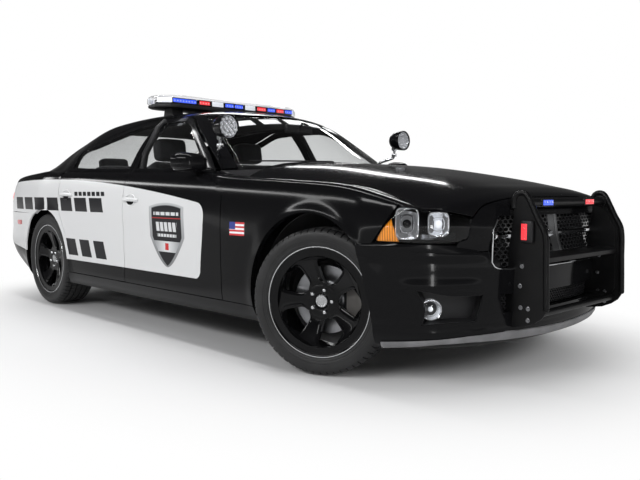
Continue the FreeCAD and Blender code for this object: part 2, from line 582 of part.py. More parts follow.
CUSHION = [(-1370, 400), (-1900, 400), (-1900, 500), (-1360, 545)]
BACKREST = [(-1800, 500), (-1900, 500), (-2150, 1090), (-2050, 1120), (-1960, 1000)]
HEADREST = [(-2070, 1140), (-2160, 1125), (-2195, 1270), (-2110, 1285)]
seats = []
for middle in (STEER_Y, -STEER_Y):
    rests = [extruded(outline, middle - 255, middle + 255) for outline in (CUSHION, BACKREST)]
    rests.append(extruded(HEADREST, middle - 120, middle + 120))
    rests.append(box(-1850, -1450, middle - 190, middle + 190, 236, 402))
    rests += [box(-2130, -2105, middle + y - 8, middle + y + 8, 1080, 1160) for y in (-60, 60)]
    seats.append(fused(rests))
save("front_seats", *seats)
BENCH = [(-2300, 236), (-2584, 236), (-2584, 560), (-2900, 560), (-3090, 1050), (-2990, 1075),
         (-2770, 640), (-2290, 590)]
save("rear_seat", extruded(BENCH, -620, 620))

# push bumper
PLATE_Y = 400.0
TUBE_R = 18.0
front_x = GUARD_REACH - TUBE_R
PLATE_OUT = [(600, 262), (700, 262), (front_x - 22, 318), (front_x, 371), (front_x, 692), (838, 886),
             (760, 870), (600, 800)]
path = [(front_x - 22, 318), (front_x, 371), (front_x, 692), (838, 886)]
plate = extruded(PLATE_OUT, PLATE_Y - 6, PLATE_Y + 6)
tubes = []
for (x0, z0), (x1, z1) in zip(path, path[1:]):
    run = V(x1 - x0, 0, z1 - z0)
    tubes.append(cyl(V(x0, PLATE_Y, z0), run, TUBE_R, run.Length))
tubes += [Part.makeSphere(TUBE_R, V(x, PLATE_Y, z)) for x, z in path]
guard = pair(fused([plate] + tubes))
guard += [box(front_x - 34, front_x + 12, -PLATE_Y, PLATE_Y, 572, 612)]
guard += [cyl(V(front_x - 20, -PLATE_Y, 345), V(0, 1, 0), TUBE_R, 2 * PLATE_Y)]
guard += [cyl(V(838, -PLATE_Y, 868), V(0, 1, 0), TUBE_R, 2 * PLATE_Y)]
guard = fused(guard).cut(OUTER).cut(plan_prism(grow(HOOD_OUT, PANEL_GAP), 690, 1400))
save("push_bumper", guard)
lamps = [box(front_x - 70, front_x - 28, y - 14, y + 14, 620, 740) for y in (PLATE_Y + 20, -PLATE_Y - 20)]
lamps += [box(822, 862, y - 62, y + 62, 884, 906) for y in (190, -190)]
save("guard_lamps", *[l.cut(guard) for l in lamps])

# light bar
BAR_X = -1900.0
BAR_HALF = 655.0
bar_plan = [(BAR_X + 148, 560), (BAR_X + 70, BAR_HALF), (BAR_X - 70, BAR_HALF), (BAR_X - 148, 560)]
bar_plan += [(x, -y) for x, y in bar_plan[::-1]]
save("light_bar", plan_prism(bar_plan, 1506, BAR_TOP))
bar_base = [plan_prism(grow(bar_plan, -14), 1488, 1506)]
bar_base += pair(box(BAR_X - 60, BAR_X + 60, 420, 520, 1400, 1490))
save("light_bar_base", fused(bar_base).cut(OUTER))

# door mirrors and spotlamps
shell_box = box(-1062, -846, 902, 1040, 1006, 1126)
shell_box = shell_box.makeFillet(34, shell_box.Edges)
mirror_arm = box(-984, -912, 840, 940, 986, 1026)
mirror = fused([shell_box, mirror_arm]).cut(OUTER)
save("mirror_left", mirror)
save("mirror_right", mirrored(mirror))
SPOT = V(-872, 792, 1270)
profile = [V(-60, 0, 0), V(-60, 0, 34), V(-20, 0, 66), V(52, 0, 72), V(60, 0, 66), V(60, 0, 0)]
head = Part.Face(polygon([p + SPOT for p in profile])).revolve(SPOT, V(1, 0, 0), 360)
neck = cyl(V(SPOT.x - 30, SPOT.y, 1178), V(0, 0, 1), 9, 50)
head = head.fuse(neck)
post = cyl(V(SPOT.x - 30, SPOT.y, 1140), V(0, 0, 1), 16, 60)
reach = V(-1140 - SPOT.x + 30, 690 - SPOT.y, 0)
post = post.fuse(cyl(V(SPOT.x - 30, SPOT.y, 1158), reach, 12, reach.Length)).cut(OUTER)
post = post.cut(cyl(V(SPOT.x - 30, SPOT.y, 1176), V(0, 0, 1), 9 + RUN, 60))
for side, word in ((1, "left"), (-1, "right")):
    save("spotlamp_" + word, head if side > 0 else mirrored(head))
save("spotlamp_posts", *pair(post))
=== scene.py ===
# %% [markdown]
# # Police patrol car
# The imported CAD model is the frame. This notebook dresses it: one smooth skin formula gives every
# painted panel, the glass and the mouldings, and everything else is built from small bmesh recipes.

# %% Load the frame
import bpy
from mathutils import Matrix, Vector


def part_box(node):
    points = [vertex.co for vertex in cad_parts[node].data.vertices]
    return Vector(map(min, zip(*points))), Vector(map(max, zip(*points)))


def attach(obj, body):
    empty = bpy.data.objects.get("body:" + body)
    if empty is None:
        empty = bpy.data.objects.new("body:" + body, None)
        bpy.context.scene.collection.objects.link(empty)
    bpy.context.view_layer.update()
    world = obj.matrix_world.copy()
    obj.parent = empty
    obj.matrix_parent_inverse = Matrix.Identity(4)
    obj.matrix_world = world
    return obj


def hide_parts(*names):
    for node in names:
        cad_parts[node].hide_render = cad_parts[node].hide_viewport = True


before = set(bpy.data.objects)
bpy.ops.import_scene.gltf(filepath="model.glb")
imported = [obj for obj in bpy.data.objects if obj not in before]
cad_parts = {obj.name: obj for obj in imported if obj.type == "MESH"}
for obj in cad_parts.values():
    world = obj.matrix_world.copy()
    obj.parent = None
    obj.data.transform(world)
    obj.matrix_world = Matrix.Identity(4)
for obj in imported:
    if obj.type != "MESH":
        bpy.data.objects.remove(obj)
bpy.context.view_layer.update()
print("nodes in the frame", len(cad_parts))

# %% Tools of this lesson
import math
import bmesh
import bpy
import numpy as np
from mathutils import Matrix, Vector

# %% [markdown]
# ## The skin
# Places are measured from the front axle's middle on the ground: `x` forward, `y` to the car's left
# and `z` up. `skin(p)` is negative inside the body and positive outside, so a panel is any grid of
# points that has been moved on to its zero surface.

# %% The car's own measures
FRONT_X = sum(v.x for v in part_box("front_tyre_left")) / 2
REAR_X = sum(v.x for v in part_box("rear_tyre_left")) / 2
BASE = FRONT_X - REAR_X
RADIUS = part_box("rear_tyre_left")[1].z / 2
TRACK = sum(v.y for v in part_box("rear_tyre_left")) / 2
print("wheelbase", round(BASE, 3), "tyre radius", round(RADIUS, 3))

# %% Smooth functions
def curve(*points):
    """A smooth function through (place, value) points, straight beyond its ends."""
    xs, ys = (np.array(v, float) for v in zip(*sorted(points)))
    slope = np.diff(ys) / np.diff(xs)
    m = np.concatenate([slope[:1], (slope[:-1] + slope[1:]) / 2, slope[-1:]])

    def at(x):
        x = np.asarray(x, float)
        i = np.clip(np.searchsorted(xs, x) - 1, 0, len(xs) - 2)
        h = xs[i + 1] - xs[i]
        t = (x - xs[i]) / h
        c = np.clip(t, 0, 1)
        a, b = ys[i], ys[i + 1]
        inside = (a * (1 + 2 * c) * (1 - c) ** 2 + b * c * c * (3 - 2 * c)
            + h * m[i] * c * (1 - c) ** 2 - h * m[i + 1] * c * c * (1 - c))
        return inside + np.where(t < 0, t * h * m[i], 0) + np.where(t > 1, (t - 1) * h * m[i + 1], 0)
    return at


def points_of(*parts):
    """An array of points from its coordinates; a single number stands for a whole row."""
    return np.stack(np.broadcast_arrays(*[np.asarray(part, float) for part in parts]), -1)


def blend_max(a, b, k):
    """The larger of two distances, rounded over a width of about k where they cross."""
    return 0.5 * (a + b + np.sqrt((a - b) ** 2 + k * k))


def blend_min(a, b, k):
    return -blend_max(-a, -b, k)


def step(x, low, high):
    """0 below low, 1 above high, smooth between."""
    t = np.clip((x - low) / (high - low), 0, 1)
    return t * t * (3 - 2 * t)


print("halfway up a curve", round(float(curve((0, 0), (1, 1), (2, 4))(1.5)), 3))

# %% How far the sides, nose and tail draw in
side_in = curve((.15, .085), (.19, .06), (.24, .03), (.3, .014), (.45, .003), (.59, 0), (.72, .001),
    (.82, .008), (.9, .021), (.95, .036), (1.0, .056), (1.08, .09), (1.2, .15))
nose_in = curve((.15, .08), (.19, .046), (.24, .016), (.3, .006), (.45, 0), (.59, 0), (.69, .026),
    (.8, .04), (.88, .05), (1.0, .11), (1.2, .2))
tail_in = curve((.15, .1), (.19, .08), (.3, .03), (.45, .006), (.59, 0), (.72, .004), (.8, .03),
    (.88, .075), (.95, .115), (1.0, .16), (1.2, .3))
HALF_WIDTH, NOSE, TAIL = .945, .836, BASE + 1.15
ARCH, REAR_ARCH, ARCH_LIP, DOOR_HOLLOW = .434, .398, .007, .01
HOOD_END, DECK_START = -.905, -2.96
print("half width at the sill", round(HALF_WIDTH - float(side_in(.3)), 3))

# %% Heights of hood, fenders and deck
hood_mid = curve((.88, .74), (.82, .8), (.76, .866), (.66, .908), (.53, .936), (.24, .987), (-.2, 1.05),
    (-.64, 1.078), (-.905, 1.082), (-1.2, 1.086))
hood_side = curve((.88, .64), (.82, .712), (.76, .784), (.66, .82), (.53, .851), (.24, .916), (-.2, .945),
    (-.64, .98), (-.905, 1.005), (-1.2, 1.012))
fender_top = curve((.88, .6), (.82, .69), (.76, .77), (.66, .815), (.53, .85), (.41, .885), (.24, .925),
    (-.2, .961), (-.64, .984), (-.905, 1.008), (-1.2, 1.014))
deck_mid = curve((-2.8, 1.066), (-3.3, 1.076), (-3.7, 1.082), (-4.08, 1.092), (-4.3, 1.06))
deck_side = curve((-2.8, 1.05), (-3.3, 1.034), (-3.7, 1.02), (-4.08, .985), (-4.3, .96))
shoulder_top = curve((-2.8, 1.054), (-3.3, 1.04), (-3.7, 1.018), (-4.08, .975), (-4.3, .95))
print("hood height at its rear", round(float(hood_mid(-.64)), 3))

# %% Walls and tops
def split(p):
    """x, the distance from the middle plane, and z."""
    return p[..., 0], np.abs(p[..., 1]), p[..., 2]


def wall(p):
    """Signed distance, nearly, to the nose, sides and tail."""
    x, y, z = split(p)
    level = z + .02 * x * step(z, .55, .95)
    half = HALF_WIDTH - side_in(level)
    wheel = np.minimum(np.hypot(x, z - RADIUS) - ARCH, np.hypot(x + BASE, z - RADIUS) - REAR_ARCH)
    half = half + ARCH_LIP * np.exp(-(np.clip(wheel, 0, 1) / .035) ** 2)
    hollow = DOOR_HOLLOW * step(z, .3, .42) * (1 - step(z, .62, .8)) * np.exp(-((x + 1.5) / .75) ** 4)
    half = half - hollow
    front, rear = NOSE - nose_in(level), TAIL - tail_in(level)
    fx = np.clip((x - .2) / (front - .2), 0, None)
    fy = y / half
    power = 2.38 + .8 * step(z, .62, .75)
    ahead = (fx ** power + fy ** power) ** (1 / power)
    bx = np.clip((-3.0 - x) / (rear - 3.0), 0, None)
    by = y / (half * (1 - .05 * np.clip(bx, 0, 1.2)))
    behind = (bx ** 5 + by ** 5) ** .2
    return (np.where(x > -1.5, ahead, behind) - 1) * half


def top(p):
    """Height above the hood and fenders, the belt or the rear deck."""
    x, y, z = split(p)
    dome = hood_mid(x) - (hood_mid(x) - hood_side(x)) * (y / .79) ** 4.5
    ridge = fender_top(x) - 1.6 * (y - .89) ** 2
    hood = blend_max(dome, ridge, .012)
    deck = deck_mid(x) - (deck_mid(x) - deck_side(x)) * (y / .79) ** 2
    deck = blend_max(deck, shoulder_top(x) - 1.2 * (y - .87) ** 2, .012)
    belt = 1.002 + .02198 * (-.64 - x)
    return z - np.where(x > HOOD_END, hood, np.where(x < DECK_START, deck, belt))


print("outside at the nose:", bool(wall(np.array([1.0, 0, .5])) > 0))

# %% Glasshouse and roof
cab_half = curve((.9, .93), (1.0, .886), (1.1, .835), (1.2, .776), (1.28, .716), (1.36, .648), (1.43, .588),
    (1.51, .524))
screen_mid = curve((.95, -.53), (1.0, -.6), (1.2, -.87), (1.36, -1.1), (1.51, -1.36))
rear_mid = curve((.95, -3.85), (1.0, -3.79), (1.2, -3.47), (1.36, -3.04), (1.51, -2.6))
roof_mid = curve((-.5, 1.3), (-1.15, 1.408), (-1.48, 1.462), (-1.9, 1.481), (-2.35, 1.47), (-2.8, 1.424),
    (-3.1, 1.35), (-4.2, 1.02))


def cab(p):
    """Signed distance, nearly, to the glasshouse and roof."""
    x, y, z = split(p)
    z = np.maximum(z, .95)
    taper = .3 * blend_max(-2.95 + .97 * (z - 1.0) - x, 0 * x, .12)
    lead = .12 * blend_max(x + .95 + .9 * (z - 1.0), 0 * x, .1)
    sides = (y - cab_half(z) + taper + lead) * .86
    bow = (y / (.705 - .35 * (z - 1.0))) ** 2
    screen = (x - screen_mid(z) + .205 * bow) * .57
    back = (rear_mid(z) + .15 * bow - x) * .5
    roof = z - roof_mid(x) + .147 * y * y
    return blend_max(blend_max(sides, blend_max(screen, back, .02), .03), roof, .035)


def skin(p):
    """The whole body: the lower body and the glasshouse, with a soft join at the rear deck."""
    lower = blend_max(wall(p), top(p), .022)
    return blend_min(lower, cab(p), .004 + .07 * step(-p[..., 0], 2.9, 3.2))


print("inside at the seats:", bool(skin(np.array([-1.8, 0, .8])) < 0))

# %% [markdown]
# ### Rails on the skin
# A panel starts as a few places drawn in a side, top or end view. `drop` moves them along the view's own
# axis on to the skin, and `settle` moves them along the slope, for places that are already near it. A car is
# drawn from its outlines in the same way, and the tables stay short.

# %% From drawn places to the skin
HALVINGS = 26
ALONG = {"side": (1, .35, 1.25), "top": (2, .55, 1.75), "front": (0, .15, 1.1), "rear": (0, -3.2, -4.6),
    "screen": (0, -2.0, .1), "back": (0, -2.2, -4.4)}


def drop(points, way, form=skin, offset=0.0):
    """Moves points along one axis on to the form: from outside inward, by bisection."""
    p = np.array(points, float)
    axis, inner, outer = ALONG[way]
    a, b = np.full(len(p), inner), np.full(len(p), outer)
    for _ in range(HALVINGS):
        m = (a + b) / 2
        p[:, axis] = m
        inside = form(p) < offset
        a, b = np.where(inside, m, a), np.where(inside, b, m)
    return p


def settle(p, form=skin, offset=0.0, rounds=7):
    """Moves points along the skin's own slope on to it."""
    p = np.array(p, float)
    h = 1e-4
    for _ in range(rounds):
        f = form(p) - offset
        g = np.stack([(form(p + h * e) - form(p - h * e)) / (2 * h) for e in np.eye(3)], -1)
        p -= (f / np.maximum((g * g).sum(-1), .05))[..., None] * g
    return p


def path(points, n, smooth=True):
    """n points along a line through the given ones, evenly by length."""
    q = np.array(points, float)
    if smooth and len(q) > 2:
        t = np.concatenate([[0], np.cumsum(np.linalg.norm(np.diff(q, axis=0), axis=1))])
        fine = np.linspace(0, t[-1], 40 * len(q))
        q = np.stack([curve(*zip(t, c))(fine) for c in q.T], -1)
    t = np.concatenate([[0], np.cumsum(np.linalg.norm(np.diff(q, axis=0), axis=1))])
    at = np.linspace(0, t[-1], n)
    return np.stack([np.interp(at, t, c) for c in q.T], -1)


def on_skin(way, flat, form=skin, offset=0.0):
    """3-D points on the form from points drawn in a side, top, front or rear view."""
    flat = np.asarray(flat, float)
    order = {"side": (0, 2), "top": (0, 1)}.get(way, (1, 2))
    p = np.zeros((len(flat), 3))
    p[:, order[0]], p[:, order[1]] = flat[:, 0], flat[:, 1]
    return drop(p, way, form, offset)


heights = (.3, .6, .9, 1.0, 1.1, 1.2, 1.3, 1.38)
profile = on_skin("side", [(-1.5, z) for z in heights])
print("half widths at the doors", dict(zip(heights, np.round(profile[:, 1], 3).tolist())))

# %% [markdown]
# ## Finishes
# A finish is a Principled shader plus whatever varies over the surface. `Num` wraps a socket, so that a
# mask is written as ordinary arithmetic, and `Finish.node` adds every other kind of node.

# %% Numbers and nodes
class Num:
    """A number that varies over the surface; its operators add Math nodes."""

    def __init__(self, finish, socket):
        self.finish, self.socket = finish, socket

    def math(self, operation, *others):
        node = self.finish.node("ShaderNodeMath", dict(enumerate((self, *others))), operation=operation)
        return Num(self.finish, node.outputs[0])

    def __add__(self, other): return self.math("ADD", other)
    def __sub__(self, other): return self.math("SUBTRACT", other)
    def __mul__(self, other): return self.math("MULTIPLY", other)
    def __truediv__(self, other): return self.math("DIVIDE", other)
    def __pow__(self, other): return self.math("POWER", other)
    def __mod__(self, other): return self.math("FLOORED_MODULO", other)
    def __gt__(self, other): return self.math("GREATER_THAN", other)
    def __lt__(self, other): return self.math("LESS_THAN", other)
    def __rsub__(self, other): return self * -1 + other
    def __abs__(self): return self.math("ABSOLUTE")
    def __neg__(self): return self * -1
    __radd__, __rmul__ = __add__, __mul__

    def top(self, other): return self.math("MAXIMUM", other)
    def low(self, other): return self.math("MINIMUM", other)

    def ramp(self, low, high):
        """0 below low, 1 above high, smooth between."""
        node = self.finish.node("ShaderNodeMapRange", {"Value": self, "From Min": low, "From Max": high},
            interpolation_type="SMOOTHSTEP")
        return Num(self.finish, node.outputs[0])

# %% A finish and its nodes
class Finish:
    """A material: one Principled shader, with fixed values on its own sockets."""

    def __init__(self, name, color, rough, **fixed):
        self.material = bpy.data.materials.new(name)
        self.material.use_nodes = True
        self.tree = self.material.node_tree
        self.shader = self.tree.nodes["Principled BSDF"]
        self.material.diffuse_color = (*color, 1)
        for socket, value in {"Base Color": (*color, 1), "Roughness": rough, **fixed}.items():
            self.shader.inputs[socket].default_value = value
        self.coordinates = None

    def node(self, kind, sockets=None, **settings):
        made = self.tree.nodes.new(kind)
        for key, value in settings.items():
            if key == "stops":
                ramp = made.color_ramp.elements
                while len(ramp) < len(value):
                    ramp.new(1)
                for stop, (at, shade) in zip(ramp, value):
                    stop.position, stop.color = at, (*shade, 1)
            else:
                setattr(made, key, value)
        for key, value in (sockets or {}).items():
            self.join(value, made.inputs[key])
        return made

    def join(self, value, socket):
        if isinstance(value, Num):
            value = value.socket
        if isinstance(value, bpy.types.NodeSocket):
            self.tree.links.new(value, socket)
        elif isinstance(value, tuple) and len(value) == 3 and len(socket.default_value) == 4:
            socket.default_value = (*value, 1)
        else:
            socket.default_value = value

    def set(self, socket, value):
        self.join(value, self.shader.inputs[socket])
        return self

    def where(self):
        """x ahead of the front axle, y to the left and z up, as three numbers in metres."""
        if self.coordinates is None:
            self.coordinates = self.node("ShaderNodeTexCoord").outputs["Object"]
        parts = self.node("ShaderNodeSeparateXYZ", {0: self.coordinates}).outputs
        return Num(self, parts[0]) - FRONT_X, Num(self, parts[1]), Num(self, parts[2])

    def stretched(self, scale=(1, 1, 1)):
        self.where()
        return self.node("ShaderNodeMapping", {"Vector": self.coordinates, "Scale": scale}).outputs[0]

    def noise(self, scale, detail=2.0, stretch=(1, 1, 1)):
        node = self.node("ShaderNodeTexNoise", {"Vector": self.stretched(stretch), "Scale": scale,
            "Detail": detail})
        return Num(self, node.outputs[0])

    def cells(self, scale):
        node = self.node("ShaderNodeTexVoronoi", {"Vector": self.stretched(), "Scale": scale})
        return Num(self, node.outputs[0])

    def mix(self, mask, first, second):
        node = self.node("ShaderNodeMix", {0: mask, 6: first, 7: second}, data_type="RGBA")
        return node.outputs[2]

    def bump(self, height, distance, strength=1.0):
        node = self.node("ShaderNodeBump", {"Height": height, "Distance": distance, "Strength": strength})
        return self.set("Normal", node.outputs[0])


# %% [markdown]
# ### Paint and its markings
# The car is gloss black all over, under a clear coat. The white field of the doors is a film, so it is a
# mask on the same paint: distances to its edges are worked out from the position on the body.

# %% Film, blocks, shield and flag
BLACK, WHITE = (.004, .004, .0045), (.63, .635, .64)


def orange_peel(finish):
    """The faint waves of sprayed paint."""
    return finish.bump(finish.noise(260, 1), .00012, .35)


def corner(a, b, radius):
    """Distance past a rounded corner formed by two edges."""
    a, b = (a + radius).top(0), (b + radius).top(0)
    return (a * a + b * b) ** .5 - radius


def door_film(finish):
    """1 on the white film of the doors and rear quarter, with rounded corners."""
    x, _, z = finish.where()
    lean = x + 3.1
    over = z - (.993 - lean * lean * .0338)
    ahead = x + .865 + (.78 - z) * .14
    below = .39 + (-3.25 - x).top(0) * .1 - z
    edge = corner(ahead, over, .075).top(corner(ahead, below, .045))
    edge = edge.top(corner(-4.0 - x, over, .05)).top(corner(-4.0 - x, below, .04))
    return 1 - edge.ramp(-.0008, .0008)


def slanted_blocks(finish, left, right, low, high, count, fill, slant=.32):
    """A row of plain slanted blocks; fill is a block's share of its pitch."""
    x, _, z = finish.where()
    across = x + (z - low) * slant
    pitch = (right - left) / count
    cell = ((across - left) / pitch) % 1
    inside = (cell < fill) * (across > left) * (across < right - pitch * (1 - fill) + .002)
    return inside * (z > low) * (z < high)

# %% Black paint, with and without film
LACQUER = {"Specular IOR Level": .12, "Coat Weight": .1, "Coat Roughness": .015}
paint = Finish("gloss_black_paint", BLACK, .12, **LACQUER)
orange_peel(paint)

wrapped = Finish("black_paint_with_white_film", BLACK, .12, **LACQUER)
film = door_film(wrapped)
x, y, z = wrapped.where()
high_row = slanted_blocks(wrapped, -3.69, -2.02, .752, .852, 7, .8)
small_row = slanted_blocks(wrapped, -2.52, -2.04, .866, .896, 7, .74)
low_row = slanted_blocks(wrapped, -2.62, -1.98, .425, .548, 3, .7)
color = wrapped.mix(film, BLACK, WHITE)
color = wrapped.mix(film * high_row.top(low_row).top(small_row), color, (.012, .012, .014))


def within(value, low, high):
    return (value > low) * (value < high)


print("rows of blocks on the film: 3")

# %% [markdown]
# The shield on the front door is drawn in its own coordinates, `across` and `up`, and the small flag on the
# fender in `flag_u` and `flag_v`. Both stay plain: rows of blocks stand where a real car carries words.

# %% Shield and flag
SILVER, SHIELD_RED = (.62, .63, .64), (.5, .03, .03)
across, up = (x + 1.265) / .195, (z - .432) / .402
crown = up + across * across * .06 - .985
flank = abs(across) - ((up * 2.15).top(.0) ** .62).low(1)
shield = crown.top(flank).top(-up)
inner = crown.top(flank + .12) + .035
field, face = 1 - shield.ramp(-.012, .012), 1 - inner.ramp(-.012, .012)
color = wrapped.mix(field, color, wrapped.mix(up.ramp(0, 1), (.2, .205, .21), (.42, .43, .44)))
color = wrapped.mix(face, color, (.014, .014, .016))
color = wrapped.mix(face * within(up, .235, .4), color,
    wrapped.mix(abs(across).ramp(0, .9), SILVER, (.25, .26, .27)))
words = ((across * 4.2 + up * .8) % 1 < .74) * (abs(across) < .6) * within(up, .55, .69)
names = ((across * 3.4) % 1 < .8) * (abs(across) < .72) * within(up, .795, .845)
lines = ((across * 6) % 1 < .8) * (abs(across) < .55) * within(up, .465, .51)
color = wrapped.mix(face * words.top(names).top(lines), color, SILVER)
color = wrapped.mix(face * (abs(across) < .1) * within(up, .265, .37), color, SHIELD_RED)
color = wrapped.mix(face * within(up, .745, .76), color, (.35, .03, .03))

flag_u, flag_v = (x + .618) / .131, (z - .66) / .073
right_side = y < 0
canton = ((flag_u > .6) * (1 - right_side)).top((flag_u < .4) * right_side) * (flag_v > .46)
flag = wrapped.mix(((flag_v * 3.5) % 1) < .5, (.8, .8, .82), (.55, .045, .05))
flag = wrapped.mix(canton, flag, (.035, .05, .24))
color = wrapped.mix(within(flag_u, 0, 1) * within(flag_v, 0, 1), color, flag)
wrapped.set("Base Color", color)
wrapped.set("Roughness", film * .16 + .12)
orange_peel(wrapped)
print("paints made", len(wrapped.tree.nodes), "nodes")

# %% [markdown]
# ### Everything that isn't paint
# Each material gets the grain of the real one at its real scale: pebbled plastic, brushed or cast metal,
# rubber with fine dust in it, woven cloth.

# %% Plastics and metals
def grained(name, color, rough, scale, depth, **fixed):
    """Moulded plastic or coated metal with a pebbled grain and slightly uneven gloss."""
    made = Finish(name, color, rough, **fixed)
    grain = made.cells(scale)
    haze = made.noise(9, 3)
    made.bump(grain, depth, .5)
    made.set("Roughness", haze * .14 + (rough - .07))
    made.set("Base Color", made.mix(haze.ramp(.35, .7), tuple(c * .85 for c in color),
        tuple(min(1, c * 1.2) for c in color)))
    return made


def brushed(name, color, rough, depth=.00004, **fixed):
    """Bare or plated metal with fine scratches along one way."""
    made = Finish(name, color, rough, Metallic=1.0, **fixed)
    scratch = made.noise(60, 3, (1, 1, 9))
    made.bump(scratch, depth, .5)
    made.set("Roughness", scratch * .16 + (rough - .05))
    return made

# %% The plain materials
white_film = grained("plain_white_film", (.72, .73, .74), .3, 300, .00002)
trim = grained("satin_black_plastic", (.012, .012, .013), .42, 900, .0002, **{"Specular IOR Level": .35})
gloss_trim = grained("gloss_black_plastic", (.0045, .0045, .005), .12, 300, .00002,
    **{"Specular IOR Level": .16})
guard_coat = grained("powder_coated_steel", (.0045, .0045, .0048), .36, 1400, .00012,
    **{"Specular IOR Level": .22})
rubber_tyre = grained("tyre_rubber", (.016, .016, .0165), .5, 500, .00015, **{"Specular IOR Level": .4})
net_gloss = grained("gloss_black_net", (.018, .018, .019), .14, 300, .00002, **{"Coat Weight": .9})
cap_silver = brushed("satin_silver", (.62, .63, .64), .22)
steel_bright = brushed("machined_lip", (.7, .71, .72), .18)
chrome = brushed("bright_chrome", (.83, .84, .86), .07, .00001)
steel = brushed("machined_steel", (.34, .345, .36), .32)
cast = grained("cast_iron", (.11, .105, .1), .62, 160, .001, Metallic=.7)
under = grained("underbody_coating", (.016, .016, .017), .72, 220, .0012)
wheel_black = grained("gloss_black_wheel", (.0042, .0042, .0046), .12, 200, .00003,
    **{"Specular IOR Level": .13, "Coat Weight": .2})
dash_vinyl = grained("dark_vinyl", (.022, .022, .024), .55, 420, .0005)
grey_strip = grained("grey_air_dam", (.17, .17, .175), .5, 700, .0003)
print("plastics and metals", len(bpy.data.materials))

# %% Cloth
def cloth(name, color):
    """Woven cloth: two rows of waves that cross, which also shade its colour."""
    made = Finish(name, color, .88, **{"Sheen Weight": .25})
    waves = {"Vector": made.stretched(), "Scale": 160.0, "Distortion": .4}
    warp, weft = (Num(made, made.node("ShaderNodeTexWave", waves, bands_direction=way).outputs["Fac"])
        for way in "YZ")
    weave = warp * .5 + weft * .5
    tone = made.noise(14, 4)
    made.set("Base Color", made.mix(weave * .5 + tone * .5, tuple(c * .6 for c in color),
        tuple(min(1, c * 1.5) for c in color)))
    return made.bump(weave, .0006, .7)


seat_cloth = cloth("seat_cloth", (.02, .02, .022))
carpet = cloth("floor_carpet", (.018, .018, .019))
print("cloths", seat_cloth.material.name, carpet.material.name)

# %% [markdown]
# ### Glass and lenses
# Real panes are thin: light goes straight through them and a mirror image adds to it at grazing angles. A
# transparent shader under a Fresnel share of gloss does the same, without the bending and the noise that a
# block of solid glass gives. Lenses that are lit get an emission colour with flutes or diodes in it.

# %% Glass
def thin_glass(name, tint, share):
    """A pane: mostly see-through, with a mirror skin that grows at grazing angles."""
    made = Finish(name, (.02, .02, .02), .01, IOR=1.5)
    see = made.node("ShaderNodeBsdfTransparent", {"Color": tint})
    leaving = Num(made, made.node("ShaderNodeNewGeometry").outputs["Backfacing"])
    skin_share = Num(made, made.node("ShaderNodeFresnel", {"IOR": 1.45}).outputs[0]) * (1 - leaving)
    gloss = made.node("ShaderNodeBsdfGlossy", {"Color": (1, 1, 1), "Roughness": .0})
    pane = made.node("ShaderNodeMixShader", {0: share, 1: see.outputs[0], 2: made.shader.outputs[0]})
    both = made.node("ShaderNodeMixShader", {0: skin_share, 1: pane.outputs[0], 2: gloss.outputs[0]})
    made.join(both.outputs[0], made.tree.nodes["Material Output"].inputs["Surface"])
    return made


window = thin_glass("window_glass", (.93, .935, .935), .02)
privacy = thin_glass("rear_window_glass", (.91, .915, .915), .03)
lens = thin_glass("clear_lens", (.98, .98, .985), .01)
print("panes", window.material.name, privacy.material.name, lens.material.name)

# %% Lit lenses
def glowing(name, color, glow, strength, fluted=0.0, diodes=0.0):
    """A coloured lens lit from behind, with moulded flutes or a grid of bright diodes."""
    made = Finish(name, color, .16, **{"Coat Weight": .4})
    x, y, z = made.where()
    made.shader.inputs["Emission Strength"].default_value = strength
    if fluted:
        wave = abs(((x + y * .6) * fluted) % 1 - .5) * 2
        made.set("Base Color", made.mix(wave, tuple(c * .4 for c in color), color))
        made.set("Emission Color", made.mix(wave, tuple(c * .35 for c in glow), glow))
        made.bump(wave, .002, .5)
    elif diodes:
        across, up = abs((y * diodes) % 1 - .5), abs((z * diodes * 1.25) % 1 - .5)
        spot = (across * across + up * up) ** .5
        made.set("Emission Color", made.mix(spot.ramp(.1, .34), tuple(.55 + .45 * c for c in glow), glow))
    else:
        made.shader.inputs["Emission Color"].default_value = (*glow, 1)
    return made


# The red lens glows faintly: on the side markers, which are lamps, that is their light; on the rear
# reflectors, which are no lamps, the glow is painted light.
red_lens = glowing("red_lens", (.36, .008, .012), (1, .03, .04), .1)
red_lit = glowing("red_light", (.55, .02, .03), (1, .05, .06), .75, diodes=42)
blue_lit = glowing("blue_light", (.03, .06, .55), (.04, .12, 1), .85, diodes=42)
amber = glowing("amber_marker", (.8, .26, .008), (1, .34, .01), .3, fluted=75)
white_lit = glowing("white_light", (.7, .72, .75), (.9, .95, 1), .4, diodes=60)
smoked = glowing("dark_red_lens", (.1, .004, .006), (1, .02, .03), .03)
# The reflector bowls glow faintly although they are no lamps: the glow is painted light standing in for what
# they reflect.
reflector = brushed("lamp_reflector_painted_glow", (.8, .81, .83), .16, .00001,
    **{"Emission Color": (.8, .82, .85, 1), "Emission Strength": .14})

# %% How many finishes there are
print("finishes", len(bpy.data.materials))
